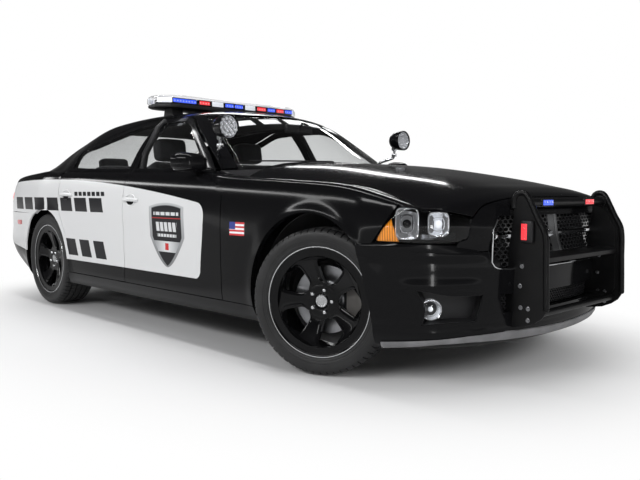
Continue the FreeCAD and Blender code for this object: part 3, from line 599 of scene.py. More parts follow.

# %% [markdown]
# ## Making pieces
# `spread` lays a grid from `bmesh.ops.create_grid` on given points. `done` turns any bmesh into an object
# that rides on a body, and takes the wall and the rounded rim that the piece needs.

# %% Objects, grids and mirror images
def done(bm, name, finish, body="body", stands_for=(), slot=None, thick=0, edge=0, sharp=35, levels=0,
         inward=True):
    """Makes the object; thick adds a wall on the inside, which takes the second finish, if there is one."""
    bmesh.ops.translate(bm, verts=bm.verts, vec=(FRONT_X, 0, 0))
    mesh = bpy.data.meshes.new(name)
    bm.to_mesh(mesh)
    bm.free()
    mesh.shade_smooth()
    mesh.set_sharp_from_angle(angle=math.radians(sharp))
    obj = bpy.data.objects.new(name, mesh)
    bpy.context.scene.collection.objects.link(obj)
    finish = finish if isinstance(finish, tuple) else (finish,)
    for one in finish:
        mesh.materials.append(one.material)
    if thick:
        wall_of = obj.modifiers.new("wall", "SOLIDIFY")
        wall_of.material_offset = len(finish) - 1
        wall_of.thickness, wall_of.offset = thick, -1 if inward else 1
        wall_of.use_even_offset = False
    if edge:
        rim = obj.modifiers.new("rim", "BEVEL")
        rim.width, rim.segments, rim.limit_method, rim.angle_limit = edge, 2, "ANGLE", math.radians(40)
        rim.harden_normals = True
        rim.use_clamp_overlap = True
    if levels:
        finer = obj.modifiers.new("finer", "SUBSURF")
        finer.levels = finer.render_levels = levels
    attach(obj, body)
    if stands_for:
        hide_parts(*([stands_for] if isinstance(stands_for, str) else stands_for))
    return obj


def spread(points, bm=None, leave_out=None):
    """Adds a grid whose corners are the given array of points, (rows, columns, 3), without some cells."""
    points = np.asarray(points)
    rows, columns = points.shape[:2]
    bm = bm or bmesh.new()
    made = bmesh.ops.create_grid(bm, x_segments=rows - 1, y_segments=columns - 1, size=1)["verts"]
    spot = {v: (round((v.co.x + 1) / 2 * (rows - 1)), round((v.co.y + 1) / 2 * (columns - 1)))
        for v in made}
    for v, at in spot.items():
        v.co = points[at]
    if leave_out is not None:
        cells = {f for v in made for f in v.link_faces}
        gone = [f for f in cells if leave_out[min(spot[v][0] for v in f.verts),
            min(spot[v][1] for v in f.verts)]]
        bmesh.ops.delete(bm, geom=gone, context="FACES")
    return bm


def outward(bm, form=skin):
    """Turns the faces so that they look away from the body."""
    bmesh.ops.remove_doubles(bm, verts=bm.verts, dist=.0004)
    bmesh.ops.dissolve_degenerate(bm, edges=bm.edges, dist=.0001)
    bm.normal_update()
    middles = np.array([f.calc_center_median() for f in bm.faces])
    normals = np.array([f.normal for f in bm.faces])
    slope = np.stack([form(middles + .001 * e) - form(middles - .001 * e) for e in np.eye(3)], -1)
    wrong = (slope * normals).sum(-1) < 0
    bmesh.ops.reverse_faces(bm, faces=[f for f, bad in zip(bm.faces, wrong) if bad])
    return bm


def joined(first, *others):
    """One mesh out of several."""
    for other in others:
        mesh = bpy.data.meshes.new("part")
        other.to_mesh(mesh)
        other.free()
        first.from_mesh(mesh)
        bpy.data.meshes.remove(mesh)
    return first


def mirrored(bm):
    """The same shape on the car's right side."""
    bmesh.ops.scale(bm, verts=bm.verts, vec=(1, -1, 1))
    bmesh.ops.reverse_faces(bm, faces=bm.faces)
    return bm

# %% Grids between rails
def between(a, b, n, ease=1.0):
    """n + 1 rows of points from rail a to rail b; ease above 1 packs them towards b."""
    t = (1 - (1 - np.linspace(0, 1, n + 1)) ** ease)[:, None, None]
    return a[None] * (1 - t) + b[None] * t


def coons(south, north, west, east):
    """Fills four edge curves that meet at their corners; rows run west to east."""
    nu, nv = len(south), len(west)
    u = np.linspace(0, 1, nu)[:, None, None]
    v = np.linspace(0, 1, nv)[None, :, None]
    s, n = np.array(south)[:, None], np.array(north)[:, None]
    w, e = np.array(west)[None], np.array(east)[None]
    corners = ((1 - u) * (1 - v) * s[:1] + u * (1 - v) * s[-1:] + (1 - u) * v * n[:1] + u * v * n[-1:])
    return (1 - v) * s + v * n + (1 - u) * w + u * e - corners


def legs(*runs):
    """A rail made of several runs, each (points, number of steps), joined end to end."""
    out = []
    for points, n in runs:
        got = path(points, n + 1, smooth=len(points) > 3)
        out.append(got[1:] if out else got)
    return np.concatenate(out)


def circle_run(x, radius, angles):
    """Places of a side view on a circle round an axle."""
    a = np.radians(angles)
    return points_of(x + radius * np.cos(a), RADIUS + radius * np.sin(a))

# %% Left and right
SIDES = (("left", 1), ("right", -1))


def both_sides(make, name, finish, body="body", stands_for=(), **how):
    """Makes a piece on the left and its mirror image on the right; {} stands for left or right."""
    for word, sign in SIDES:
        bm = make() if sign > 0 else mirrored(make())
        done(bm, f"{name}_{word}", finish, body.format(word), [n.format(word) for n in stands_for], **how)


# %% [markdown]
# ## Body panels
# Every panel's edges are drawn in a side, top or front view and dropped on to the skin. The rows between
# two edges are blended in space and then settled on the skin, so neighbouring panels share one surface.
# The fenders and rear quarters fan out from their wheel openings, which keeps the arch lips round.

# %% Fenders
GAP, DOOR_FRONT = .003, -.704


def crease(x):
    """Side-view height of the line where a side turns into the top."""
    x = np.asarray(x, float)
    between_ends = np.where(x < DECK_START, shoulder_top(x), 1.002 + .022 * (-.64 - x))
    return np.where(x > HOOD_END, fender_top(x), between_ends) - .016


def crease_run(start, end, n):
    x = np.linspace(start, end, n + 1)
    return points_of(x, crease(x))


def fan(inner, outer, rows, ease=1.0):
    """A grid on the skin between two rails."""
    return settle(between(inner, outer, rows, ease))


def arc(x, radius, *spans):
    """A wheel opening's edge on the skin: (from, to, points) in degrees, one span after another."""
    runs = [circle_run(x, radius, np.linspace(*span)) for span in spans]
    return on_skin("side", np.concatenate([runs[0]] + [run[1:] for run in runs[1:]]))


def fender():
    """A fan from the wheel opening up to the crease, and the strip from there to the hood's seam."""
    arch = arc(0, ARCH, (189.5, 142, 13), (142, 139, 7), (139, 58, 45), (58, 44.2, 9))
    rear_x = DOOR_FRONT + GAP
    outer = legs(([(rear_x, .292), (rear_x, .6), (rear_x, .9)], 12),
        ([(rear_x, .9), (-.722, .923), (-.8, .94), (-.85, .98), (-.9, 1.006)], 6),
        (crease_run(-.9, .512, 44), 44), ([(.512, .838), (.478, .78), (.43, .71), (.394, .668)], 8))
    bm = spread(fan(arch, on_skin("side", outer), 22, 1.25))
    low = on_skin("side", crease_run(-.9, .512, 44))
    seam = on_skin("top", path([(-.905, .8), (-.64, .788), (-.2, .793), (.24, .795), (.45, .804),
        (.583, .826)], 45))
    spread(fan(low, seam, 12), bm)
    return outward(bm)


both_sides(fender, "fender", (wrapped, under), "body", ["fenders"], slot="paint_black", thick=.026,
    edge=.002)


def ribbon(outer, inner, rows=6, form=skin):
    """A strip on the skin between two rails."""
    return outward(spread(settle(between(outer, inner, rows), form)), form)


print("fender made")

# %% Side frame, quarter and rocker
WINDOW_TOP = [(.692, 1.04), (.66, 1.12), (.625, 1.215), (.59, 1.31), (.558, 1.385)]


def screen_edge(points):
    """Places on the glasshouse from a front view."""
    return on_skin("screen", points, cab)


def side_frame():
    """The windshield pillar, roof rail, rear pillar and shoulder, as one pressing."""
    drip = legs(([(-.905, 1.03), (-1.08, 1.158), (-1.26, 1.28), (-1.4, 1.365), (-1.47, 1.396)], 24),
        ([(-1.47, 1.396), (-1.6, 1.404), (-1.8, 1.405), (-2.02, 1.4), (-2.3, 1.34), (-2.6, 1.276),
        (-2.872, 1.218)], 34), ([(-2.872, 1.218), (-2.866, 1.19), (-2.842, 1.12), (-2.823, 1.052)], 8),
        (crease_run(-2.823, -4.0, 34), 34))
    lower_rail = on_skin("side", drip)
    screen = screen_edge(path(WINDOW_TOP, 25))
    ditch = on_skin("top", path([(screen[-1][0] - .01, .553), (-1.7, .553), (-2.2, .548), (-2.62, .54),
        (-2.8, .535)], 35))
    back = on_skin("top", path([(-2.86, .545), (-3.05, .565), (-3.3, .6), (-3.52, .635)], 9))
    seam = on_skin("top", path([(-3.6, .66), (-3.7, .7), (-3.85, .708), (-4.03, .712)], 34))
    return outward(spread(settle(between(lower_rail, np.concatenate([screen, ditch[1:], back[1:], seam]),
        14))))


def quarter():
    """The rear quarter, fanned out from its wheel opening."""
    arch = arc(-BASE, REAR_ARCH, (-10.4, 42, 15), (42, 58, 5), (58, 108, 35), (108, 115.2, 9))
    outer = legs(([(-2.586, .292), (-2.618, .44), (-2.692, .6), (-2.797, .76)], 14),
        ([(-2.797, .76), (-2.806, .9), (-2.81, .99), (-2.823, crease(-2.823))], 4),
        (crease_run(-2.823, -4.0, 34), 34), ([(-4.0, .945), (-3.975, .925), (-3.962, .86),
        (-3.958, .728)], 8))
    return outward(spread(fan(arch, on_skin("side", outer), 20, 1.2)))


both_sides(side_frame, "side_frame", paint, "body", ["side_frames"], thick=.022, edge=.002)
both_sides(quarter, "quarter_panel", (wrapped, under), thick=.026, edge=.002)


def rocker():
    """The sill under the doors, turned in at its lower edge."""
    top_line = on_skin("side", path([(-.428, .288), (-1.5, .288), (-2.652, .288)], 60))
    low_line = on_skin("side", path([(-.4, .205), (-1.5, .205), (-2.69, .205)], 60))
    under_line = low_line + (0, -.05, -.013)
    rows = np.concatenate([settle(between(top_line, low_line, 8)), under_line[None]])
    return outward(spread(rows))


both_sides(rocker, "rocker", paint, thick=.02, edge=.002)
print("side frames, quarters and rockers made")

# %% [markdown]
# ### Doors
# A door is a thick slab below the window line, whose inner side is the door card, and a slim frame round
# its glass. The glass sits a few millimetres inside the frame.

# %% Door skins
DOOR_SLAB, FRONT_DOOR_END, REAR_DOOR_START = .075, -1.797, -1.803


def belt(x):
    """Height of the doors' upper edge."""
    return 1.002 + .022 * (-.64 - np.asarray(x, float)) + .004


def door_lower(front, rear, n):
    """A slab between two side-view edges, from the sill up to the belt."""
    front, rear = path(front, 31, smooth=False), path(rear, 31, smooth=False)
    x = np.linspace(front[-1][0], rear[-1][0], n + 1)
    north = points_of(x, np.linspace(front[-1][1], rear[-1][1], n + 1))
    south = path([front[0], rear[0]], n + 1)
    flat = coons(south, north, front, rear).reshape(-1, 2)
    return outward(spread(on_skin("side", flat).reshape(n + 1, 31, 3)))


FRONT_EDGE = [(-.707, .293), (-.707, .6), (-.707, .898), (-.713, .914), (-.73, .928), (-.805, .942),
    (-.85, .975), (-.905, 1.012)]
both_sides(lambda: door_lower(FRONT_EDGE, [(FRONT_DOOR_END, .293), (FRONT_DOOR_END, belt(FRONT_DOOR_END))],
    44), "front_door_skin", (wrapped, dash_vinyl), "front_door_{}", ["front_door_{}"], thick=DOOR_SLAB,
    edge=.0022)
both_sides(lambda: door_lower([(REAR_DOOR_START, .293), (REAR_DOOR_START, belt(REAR_DOOR_START))],
    [(-2.583, .293), (-2.613, .44), (-2.687, .6), (-2.792, .76), (-2.801, .9), (-2.806, .99),
    (-2.814, belt(-2.814))], 44), "rear_door_skin", (wrapped, dash_vinyl), "rear_door_{}", ["rear_door_{}"],
    thick=DOOR_SLAB, edge=.0022)
print("door skins made, thickness", DOOR_SLAB)

# %% Frames of the side windows
FRONT_FRAME = [(-.915, 1.02), (-1.08, 1.148), (-1.26, 1.27), (-1.4, 1.354), (-1.474, 1.388),
    (-1.62, 1.397), (FRONT_DOOR_END, 1.398)]
FRONT_PANE = [(-.975, 1.028), (-1.115, 1.135), (-1.28, 1.25), (-1.41, 1.332), (-1.486, 1.358),
    (-1.62, 1.365), (-1.755, 1.366)]
REAR_FRAME = [(REAR_DOOR_START, 1.398), (-1.92, 1.397), (-2.03, 1.391), (-2.3, 1.333), (-2.6, 1.269),
    (-2.864, 1.208), (-2.858, 1.17), (-2.835, 1.11), (-2.814, 1.045)]
REAR_PANE = [(-1.845, 1.366), (-1.92, 1.364), (-2.03, 1.358), (-2.29, 1.3), (-2.56, 1.24),
    (-2.775, 1.188), (-2.768, 1.165), (-2.745, 1.11), (-2.722, 1.055)]


def door_frame(outer, inner, post_x, inner_x):
    """The slim frame: over the top, and down the post between the doors."""
    over = ribbon(on_skin("side", path(outer, 70)), on_skin("side", path(inner, 70)), 4)
    post = ribbon(on_skin("side", path([(post_x, 1.02), (post_x, 1.398)], 20)),
        on_skin("side", path([(inner_x, 1.02), (inner_x, 1.366)], 20)), 4)
    return joined(over, post)


both_sides(lambda: door_frame(FRONT_FRAME, FRONT_PANE, FRONT_DOOR_END, -1.755), "front_door_frame",
    gloss_trim, "front_door_{}", thick=.03, edge=.002)
both_sides(lambda: door_frame(REAR_FRAME, REAR_PANE, REAR_DOOR_START, -1.845), "rear_door_frame",
    gloss_trim, "rear_door_{}", thick=.03, edge=.002)

# %% Glass and sill strips
def pane(upper, lower_edge, inset=.007):
    """Glass between an upper curve and the belt, set in from the skin."""
    top_row = on_skin("side", path(upper, 60), skin, -inset)
    low_row = on_skin("side", path(lower_edge, 60), skin, -inset)
    return outward(spread(settle(between(low_row, top_row, 16), skin, -inset)))


both_sides(lambda: pane([(-.96, 1.02), (-1.115, 1.139), (-1.28, 1.254), (-1.41, 1.336), (-1.486, 1.362),
    (-1.62, 1.369), (-1.765, 1.37)], [(-.96, 1.0), (-1.765, 1.015)]), "front_pane", window,
    "front_door_{}", ["front_door_glass_{}"], thick=.004)
both_sides(lambda: pane([(-1.838, 1.37), (-1.92, 1.368), (-2.03, 1.362), (-2.29, 1.304), (-2.56, 1.244),
    (-2.78, 1.192), (-2.768, 1.15), (-2.735, 1.08)], [(-1.838, 1.015), (-2.71, 1.04)]), "rear_pane",
    privacy, "rear_door_{}", ["rear_door_glass_{}"], thick=.004)


def sill_strip(start, end):
    """The wiper strip along the base of the side glass."""
    x = np.linspace(start, end, 41)
    rows = [on_skin("side", points_of(x, belt(x) + h), skin, out)
        for h, out in ((-.002, -.004), (.001, .004), (.012, .005), (.02, .002), (.022, -.01))]
    return outward(spread(rows))


both_sides(lambda: sill_strip(-.925, -1.796), "front_sill_strip", gloss_trim, "front_door_{}")
both_sides(lambda: sill_strip(-1.804, -2.808), "rear_sill_strip", gloss_trim, "rear_door_{}")

# %% [markdown]
# ### Turned, bent and cut shapes
# Round parts are a profile spun about an axis, bent tubes are a ring carried along a path, and flat parts
# are an outline pushed out into a slab. Each is made along an axis and then turned to where it points.

# %% Spun, placed and squared shapes
def turned(profile, steps=48):
    """Spins a profile of (place along X, radius) points about the X axis; a closed profile stays closed."""
    bm = bmesh.new()
    verts = [bm.verts.new((a, r, 0)) for a, r in profile]
    edges = [bm.edges.new(ends) for ends in zip(verts, verts[1:])]
    bmesh.ops.spin(bm, geom=verts + edges, cent=(0, 0, 0), axis=(1, 0, 0), angle=2 * math.pi, steps=steps,
        use_merge=True)
    bmesh.ops.remove_doubles(bm, verts=bm.verts, dist=.00003)
    bmesh.ops.recalc_face_normals(bm, faces=bm.faces)
    return bm


def placed(bm, at, way=(1, 0, 0), roll=0.0):
    """Turns a shape made along +X to look along a direction, and puts it somewhere."""
    turn = Vector(way).to_track_quat("X", "Z").to_matrix().to_4x4() @ Matrix.Rotation(roll, 4, "X")
    bmesh.ops.transform(bm, matrix=Matrix.Translation(Vector(at)) @ turn, verts=bm.verts)
    return bm


def squarish(bm, power=4.0, width=1.0, height=1.0):
    """Makes round sections rounded squares, across Y and Z."""
    for v in bm.verts:
        r = math.hypot(v.co.y, v.co.z)
        if r > 1e-6:
            k = ((abs(v.co.y) / r) ** power + (abs(v.co.z) / r) ** power) ** (-1 / power)
            v.co.y, v.co.z = v.co.y * k * width, v.co.z * k * height
    return bm

# %% Boxes and tubes
def block(low, high, edge=.003, segments=2):
    """A rounded box between two corners."""
    bm = bmesh.new()
    bmesh.ops.create_cube(bm, size=1)
    low, high = Vector(low), Vector(high)
    bmesh.ops.scale(bm, verts=bm.verts, vec=high - low)
    bmesh.ops.translate(bm, verts=bm.verts, vec=(low + high) / 2)
    if edge:
        bmesh.ops.bevel(bm, geom=bm.edges, offset=edge, segments=segments, profile=.5, affect="EDGES",
            material=-1)
    return bm


def sealed(bm, dist):
    """Merges what meets, caps open ends and turns the faces outwards."""
    bmesh.ops.remove_doubles(bm, verts=bm.verts, dist=dist)
    bmesh.ops.holes_fill(bm, edges=[e for e in bm.edges if e.is_boundary])
    bmesh.ops.recalc_face_normals(bm, faces=bm.faces)
    return bm


def tube(points, radius, sides=14, closed=False):
    """A ring carried along a path; the ends are capped."""
    points = np.array(points, float)
    ahead = np.roll(points, -1, 0) - points if closed else np.gradient(points, axis=0)
    behind = points - np.roll(points, 1, 0) if closed else ahead
    run = ahead + behind
    run /= np.linalg.norm(run, axis=1, keepdims=True)
    side = np.cross(run[0], (0, 0, 1)) if abs(run[0][2]) < .9 else np.cross(run[0], (0, 1, 0))
    rings, angle = [], np.linspace(0, 2 * np.pi, sides + 1)
    radius = np.broadcast_to(radius, len(points))
    for at, way, size in zip(points, run, radius):
        side = side - way * (side @ way)
        side /= np.linalg.norm(side)
        up = np.cross(way, side)
        rings.append(at + size * (np.cos(angle)[:, None] * side + np.sin(angle)[:, None] * up))
    if closed:
        rings.append(rings[0])
    return sealed(spread(rings), .00002)

# %% Slabs and groups
def slab(outline, low, high, axis="y", edge=0.0):
    """A flat shape between two planes; the outline gives x and z, or x and y for a slab that lies flat."""
    upright = axis == "y"
    bm = bmesh.new()
    face = bm.faces.new([bm.verts.new((a, low, b) if upright else (a, b, low)) for a, b in outline])
    out = bmesh.ops.extrude_face_region(bm, geom=[face])["geom"]
    shift = (0, high - low, 0) if upright else (0, 0, high - low)
    bmesh.ops.translate(bm, verts=[v for v in out if isinstance(v, bmesh.types.BMVert)], vec=shift)
    if edge:
        bmesh.ops.bevel(bm, geom=bm.edges, offset=edge, segments=2, profile=.5, affect="EDGES", material=-1)
    bmesh.ops.recalc_face_normals(bm, faces=bm.faces)
    return bm




def bolt(size=.01):
    """A hexagon head on its washer."""
    return joined(turned([(0, 0), (0, size), (.0012, size), (.0016, size * .9), (.0016, 0)], 24),
        turned([(.0014, 0), (.0014, size * .72), (.0065, size * .72), (.0075, size * .62), (.0075, 0)], 6))


def repeated(make, spots):
    """Copies of one small shape, each placed by (at, way)."""
    return joined(*[placed(make(), at, way) for at, way in spots])


print("shape helpers ready")

# %% [markdown]
# ### Hood, roof, glass and lid
# These are drawn from above or from the ends. The hood's outer rail follows the seam with the fenders and
# its front rail runs along the nose, so the crown and the ridge near the seam come from the skin itself.

# %% Hood
LAMP_TOP = [(.585, .832, .822), (.64, .782, .815), (.695, .722, .8), (.733, .64, .783)]


def near(points, n):
    """A rail through places close to the skin."""
    return settle(path(points, n))


def whole(left, form=skin):
    """A panel across the car from its left half, whose first column is the middle line."""
    return outward(spread(np.concatenate([left[:, :0:-1] * (1, -1, 1), left], 1)), form)


def row_across(x, y):
    """Places of a top view in a row across the car."""
    return on_skin("top", points_of(x, y))


def hood():
    seam = np.concatenate([on_skin("top", path([(-.64, .782), (-.2, .787), (.24, .789), (.45, .797),
        (.58, .818)], 49)), near(LAMP_TOP, 17)[1:] + (0, 0, .004)])
    front = near([(.752, 0, .884), (.75, .2, .88), (.75, .36, .872), (.752, .5, .856),
        (.742, .59, .832), (.733, .64, .787)], 41)
    middle = on_skin("top", points_of(np.linspace(-.64, .752, 65), 0))
    back = row_across(-.64, np.linspace(0, .782, 41))
    return whole(settle(coons(middle, seam, back, front)))


done(hood(), "hood_skin", paint, "hood", "hood", thick=.02, edge=.0025)
print("hood made")

# %% Roof and end glass
def roof():
    """From the top of the windshield to the top of the rear window, between the rain gutters."""
    x_front = screen_edge(path([(0, 1.408), (.3, 1.408), (.558, 1.385)], 21))
    y = np.linspace(0, .545, 21)
    front_x = np.interp(y, x_front[:, 1], x_front[:, 0]) - .012
    back_x = -2.905 + .1 * (y / .545) ** 2
    t = np.linspace(0, 1, 41)[:, None]
    xs = front_x[None] * (1 - t) + back_x[None] * t
    ys = np.broadcast_to(y - .004 * (y / .545), xs.shape)
    return whole(on_skin("top", points_of(xs, ys).reshape(-1, 2)).reshape(41, 21, 3))


done(roof(), "roof_skin", paint, "body", "roof_panel", thick=.022, edge=.0025)


def end_glass(way, upper, lower_edge, inset, rows=24):
    """A pane drawn in a front view from its upper and lower left-hand edges."""
    top_row, low_row = path(upper, 31), path(lower_edge, 31)
    flat = between(low_row, top_row, rows)
    left = drop(points_of(0, flat[..., 0], flat[..., 1]).reshape(-1, 3), way, cab, -inset).reshape(rows + 1,
        31, 3)
    return whole(left, cab)


SCREEN_TOP = [(0, 1.404), (.3, 1.403), (.45, 1.396), (.552, 1.38)]
SCREEN_LOW = [(0, 1.052), (.3, 1.046), (.55, 1.03), (.688, 1.014)]
done(end_glass("screen", SCREEN_TOP, SCREEN_LOW, .004), "front_screen", window, "body", "windshield",
    thick=.005)
BACK_TOP = [(0, 1.388), (.3, 1.384), (.45, 1.368), (.535, 1.335)]
BACK_LOW = [(0, 1.098), (.3, 1.098), (.5, 1.106), (.59, 1.125)]
done(end_glass("back", BACK_TOP, BACK_LOW, .004), "back_screen", privacy, "body", "rear_window", thick=.005)
print("roof and end glass made")

# %% Trunk lid, cowl and deck panel
def deck():
    """The lid: its top face, the lip at its rear edge and the upright face down to the bumper."""
    y = np.linspace(-.703, .703, 61)
    rise = 1 - (np.abs(y) / .703) ** 2
    front = points_of(-3.785, y)
    lip = points_of(-4.052 + .045 * (np.abs(y) / .703) ** 2 - .018 * rise, y)
    top_rows = np.stack([on_skin("top", front * (1 - t) + lip * t) for t in np.linspace(0, 1, 22)])
    low = on_skin("rear", points_of(y, .73))
    rear_rows = settle(between(top_rows[-1], low, 26))[1:]
    return outward(spread(np.concatenate([top_rows, rear_rows])))


done(deck(), "trunk_skin", paint, "trunk_lid", "trunk_lid", thick=.012, edge=.0025)


def cowl():
    """The black panel between the hood and the glass."""
    y = np.linspace(-.79, .79, 61)
    ahead = row_across(-.648, y) + (0, 0, -.014)
    base = drop(points_of(0, y, 1.02 + .02 * (1 - (y / .79) ** 2)), "screen", cab)
    mid = (ahead + base) / 2 + (0, 0, -.012)
    return outward(spread(np.array([ahead + (0, 0, -.02), ahead, mid, base, base + (-.05, 0, -.02)])),
        lambda p: p[..., 2])


done(cowl(), "cowl_cover", trim, "body", "cowl_panel", thick=.006)


def rear_shelf_top():
    """The fixed panel between the rear window and the lid."""
    y = np.linspace(-.7, .7, 41)
    rear = row_across(-3.7785, y)
    front = drop(points_of(0, y * .86, 1.108 + .016 * (y / .7) ** 2), "back", skin)
    return outward(spread(settle(between(front, rear, 8))))


done(rear_shelf_top(), "deck_panel", paint, "body", "rear_shelf", thick=.012, edge=.002)
print("hood, roof, glass and lid made")


# %% [markdown]
# ### Banner on the windshield
# Plain white blocks in a row along the top of the glass stand for the banner.

# %% Banner and wipers
def banner():
    bm = bmesh.new()
    for middle in np.linspace(-.4, .4, 5):
        y = np.linspace(middle - .07, middle + .07, 9)
        rows = [drop(points_of(0, y, 1.352 + .034 * t - .055 * (y / .55) ** 2), "screen", cab, -.0026)
            for t in np.linspace(0, 1, 4)]
        spread(rows, bm)
    return outward(bm, cab)


done(banner(), "screen_banner", white_film, thick=.0008, inward=False)


def wiper(at, tip):
    """An arm and its blade, lying on the glass."""
    run = drop(np.stack([np.zeros(20), *path([at, tip], 20).T], -1), "screen", cab, .01)
    blade_y = np.linspace(tip[0] - .3, tip[0] + .26, 30)
    blade = drop(points_of(0, blade_y, tip[1] + .012 * (blade_y - tip[0])), "screen", cab, .004)
    return joined(tube(run, np.linspace(.0085, .005, 20), 10), tube(blade, .0045, 8),
        placed(turned([(-.004, .016), (.006, .014), (.01, .008), (.01, 0)], 24), run[0], (.4, 0, .9)))


done(joined(wiper((.52, 1.04), (.3, 1.075)), wiper((-.1, 1.05), (-.3, 1.085))), "wipers", trim)
print("banner and wipers made")

# %% [markdown]
# ## Front and rear ends
# The bumpers wrap round, so their features are given by a bearing, in degrees off straight ahead as seen
# from a point inside the nose or tail, and a height. A table of key points is filled in smoothly; cells
# that are openings are left out, and the rims round them are turned inwards.

# %% Bearings, tables and bumpers
HUB = {"nose": (.1, 1), "tail": (-3.3, -1)}


def round_skin(end, bearing, z, offset=0.0):
    """Points on the skin at bearings and heights, found by walking inwards."""
    at, sign = HUB[end]
    a = np.radians(np.asarray(bearing, float))
    shape = np.broadcast(a, z).shape
    a, z = np.broadcast_to(a, shape).ravel(), np.broadcast_to(z, shape).ravel()
    near, far = np.full(a.shape, .2), np.full(a.shape, 1.6)

    def place(r):
        return points_of(at + sign * r * np.cos(a), r * np.sin(a), z)
    for _ in range(HALVINGS):
        r = (near + far) / 2
        inside = skin(place(r)) < offset
        near, far = np.where(inside, r, near), np.where(inside, far, r)
    return place(near).reshape(*shape, 3)


def table_fill(keys, steps_down, steps_across):
    """Fills a table of (bearing, height) keys; returns the dense table and its cell numbers."""
    keys = np.array(keys, float)
    rows, columns = keys.shape[:2]
    ti = np.concatenate([[0]] + [i + np.linspace(0, 1, n + 1)[1:] for i, n in enumerate(steps_down)])
    tj = np.concatenate([[0]] + [j + np.linspace(0, 1, n + 1)[1:] for j, n in enumerate(steps_across)])
    half = np.stack([[curve(*zip(range(columns), keys[i, :, k]))(tj) for k in (0, 1)] for i in range(rows)])
    full = np.stack([[curve(*zip(range(rows), half[:, k, j]))(ti) for j in range(len(tj))] for k in (0, 1)])
    cell = np.minimum(ti[:-1].astype(int), rows - 2), np.minimum(tj[:-1].astype(int), columns - 2)
    return full.transpose(2, 1, 0), cell


def wrap(end, keys, steps_down, steps_across, openings, push):
    """The left half of a bumper with its openings cut out, and the points it was made from."""
    flat, (ci, cj) = table_fill(keys, steps_down, steps_across)
    points = push(round_skin(end, flat[..., 0], flat[..., 1]), flat)
    return spread(points, leave_out=np.array([[(i, j) in openings for j in cj] for i in ci])), points


print("hub of the nose", HUB["nose"])

# %% Front bumper
# Rows run from the chin up to the headlamp; columns from the middle of the car to the wheel opening.
NOSE_KEYS = [[(0, .205), (15, .205), (32, .205), (43, .203), (52, .2), (60, .198), (66, .196),
    (71.2, .195)], [(0, .285), (15, .285), (33, .282), (44.5, .262), (52, .25), (60, .24), (66, .232),
    (71.8, .228)], [(0, .35), (15, .35), (34.0, .348), (43.6, .318), (50.5, .318), (59.0, .308),
    (65, .3), (72.2, .3)], [(0, .39), (15, .39), (35.0, .39), (42.5, .376), (49.5, .374),
    (58.2, .382), (65, .38), (73.0, .38)], [(0, .43), (15, .43), (35.0, .434), (41.5, .438), (51.0, .44),
    (60.6, .466), (66, .46), (74.2, .46)], [(0, .48), (15, .48), (35.4, .48), (41.8, .478), (52.0, .479),
    (61.2, .482), (67, .5), (74.8, .51)], [(0, .548), (15, .548), (34.6, .548), (42.0, .555), (51.5, .555),
    (61.5, .56), (68, .57), (76.0, .58)], [(0, .63), (15, .63), (38.6, .63), (43.5, .628), (50.5, .627),
    (58.5, .63), (65.5, .644), (77.0, .662)], ]
STEPS_DOWN, STEPS_ACROSS = (4, 4, 6, 6, 4, 5, 7), (8, 12, 8, 8, 10, 7, 8)
INTAKE_CELLS, FOG_CELLS = {(2, 0), (2, 1), (3, 0), (3, 1)}, {(2, 3), (2, 4), (3, 3), (3, 4)}
GRILLE_CELLS = {(6, 0), (6, 1)}


def lean_of(bearing):
    """The direction that a bearing points in."""
    a = np.radians(bearing)
    return points_of(np.cos(a), np.sin(a), 0)


def bumper_relief(points, flat):
    """The proud rib over the fog lamp's pocket and the ledge under the headlamp."""
    bearing, z = flat[..., 0], flat[..., 1]
    shelf = .008 * step(z, .585, .618) * step(bearing, 38, 44)
    rib = .006 * step(z, .452, .474) * (1 - step(z, .484, .52)) * step(bearing, 38,
        46) * (1 - step(bearing, 60, 68))
    lip = .01 * (1 - step(z, .262, .3)) * step(z, .2, .215)
    return points + lean_of(bearing) * (shelf + rib + lip)[..., None]


def both_halves(bm):
    """Adds the mirror image of a left half."""
    mesh = bpy.data.meshes.new("half")
    bm.to_mesh(mesh)
    mirrored(bm)
    bm.from_mesh(mesh)
    bpy.data.meshes.remove(mesh)
    return bm


left_cover, COVER = wrap("nose", NOSE_KEYS, STEPS_DOWN, STEPS_ACROSS,
    INTAKE_CELLS | FOG_CELLS | GRILLE_CELLS, bumper_relief)
done(outward(both_halves(left_cover)), "front_cover", paint, "body", "front_bumper", thick=.012, edge=.003)
print("front bumper", COVER.shape[:2], "points in its left half")

# %% [markdown]
# A fog lamp sits in a pocket behind an opening of the bumper. The pocket's walls start from the opening's own
# edge, taken from the bumper's table, so that they always meet it.

# %% Fog lamps
def cell_loop(points, steps_down, steps_across, down, across):
    """The closed edge of a block of cells, anticlockwise."""
    i0, i1 = (sum(steps_down[:k]) for k in down)
    j0, j1 = (sum(steps_across[:k]) for k in across)
    return np.concatenate([points[i0, j0:j1], points[i0:i1, j1], points[i1, j1:j0:-1],
        points[i1:i0:-1, j0]])


def sunk(loop, into, depth, shrink, rows=5, back=True):
    """The walls of a pocket that leads in from a closed loop, with a back."""
    loop = np.concatenate([loop, loop[:1]])
    middle = loop[:-1].mean(0)
    t = np.linspace(0, 1, rows)
    rows_ = [middle + (loop - middle) * (1 - shrink * k ** 2) + np.array(into) * depth * k for k in t]
    bm = spread(rows_)
    bmesh.ops.remove_doubles(bm, verts=bm.verts, dist=.0003)
    if back:
        rim = [e for e in bm.edges if e.is_boundary and min(np.linalg.norm(np.array(v.co) - rows_[-1],
            axis=1).min() for v in e.verts) < .0005]
        bmesh.ops.holes_fill(bm, edges=rim)
        bmesh.ops.triangulate(bm, faces=[f for f in bm.faces if len(f.verts) > 4])
    return bm


def fog_pocket():
    """The moulded recess that a fog lamp sits in."""
    loop = cell_loop(COVER, STEPS_DOWN, STEPS_ACROSS, (2, 4), (3, 5))
    return outward(sunk(loop - lean_of(52) * .004, -lean_of(52), depth=.06, shrink=.16),
        lambda p: -p @ lean_of(52))


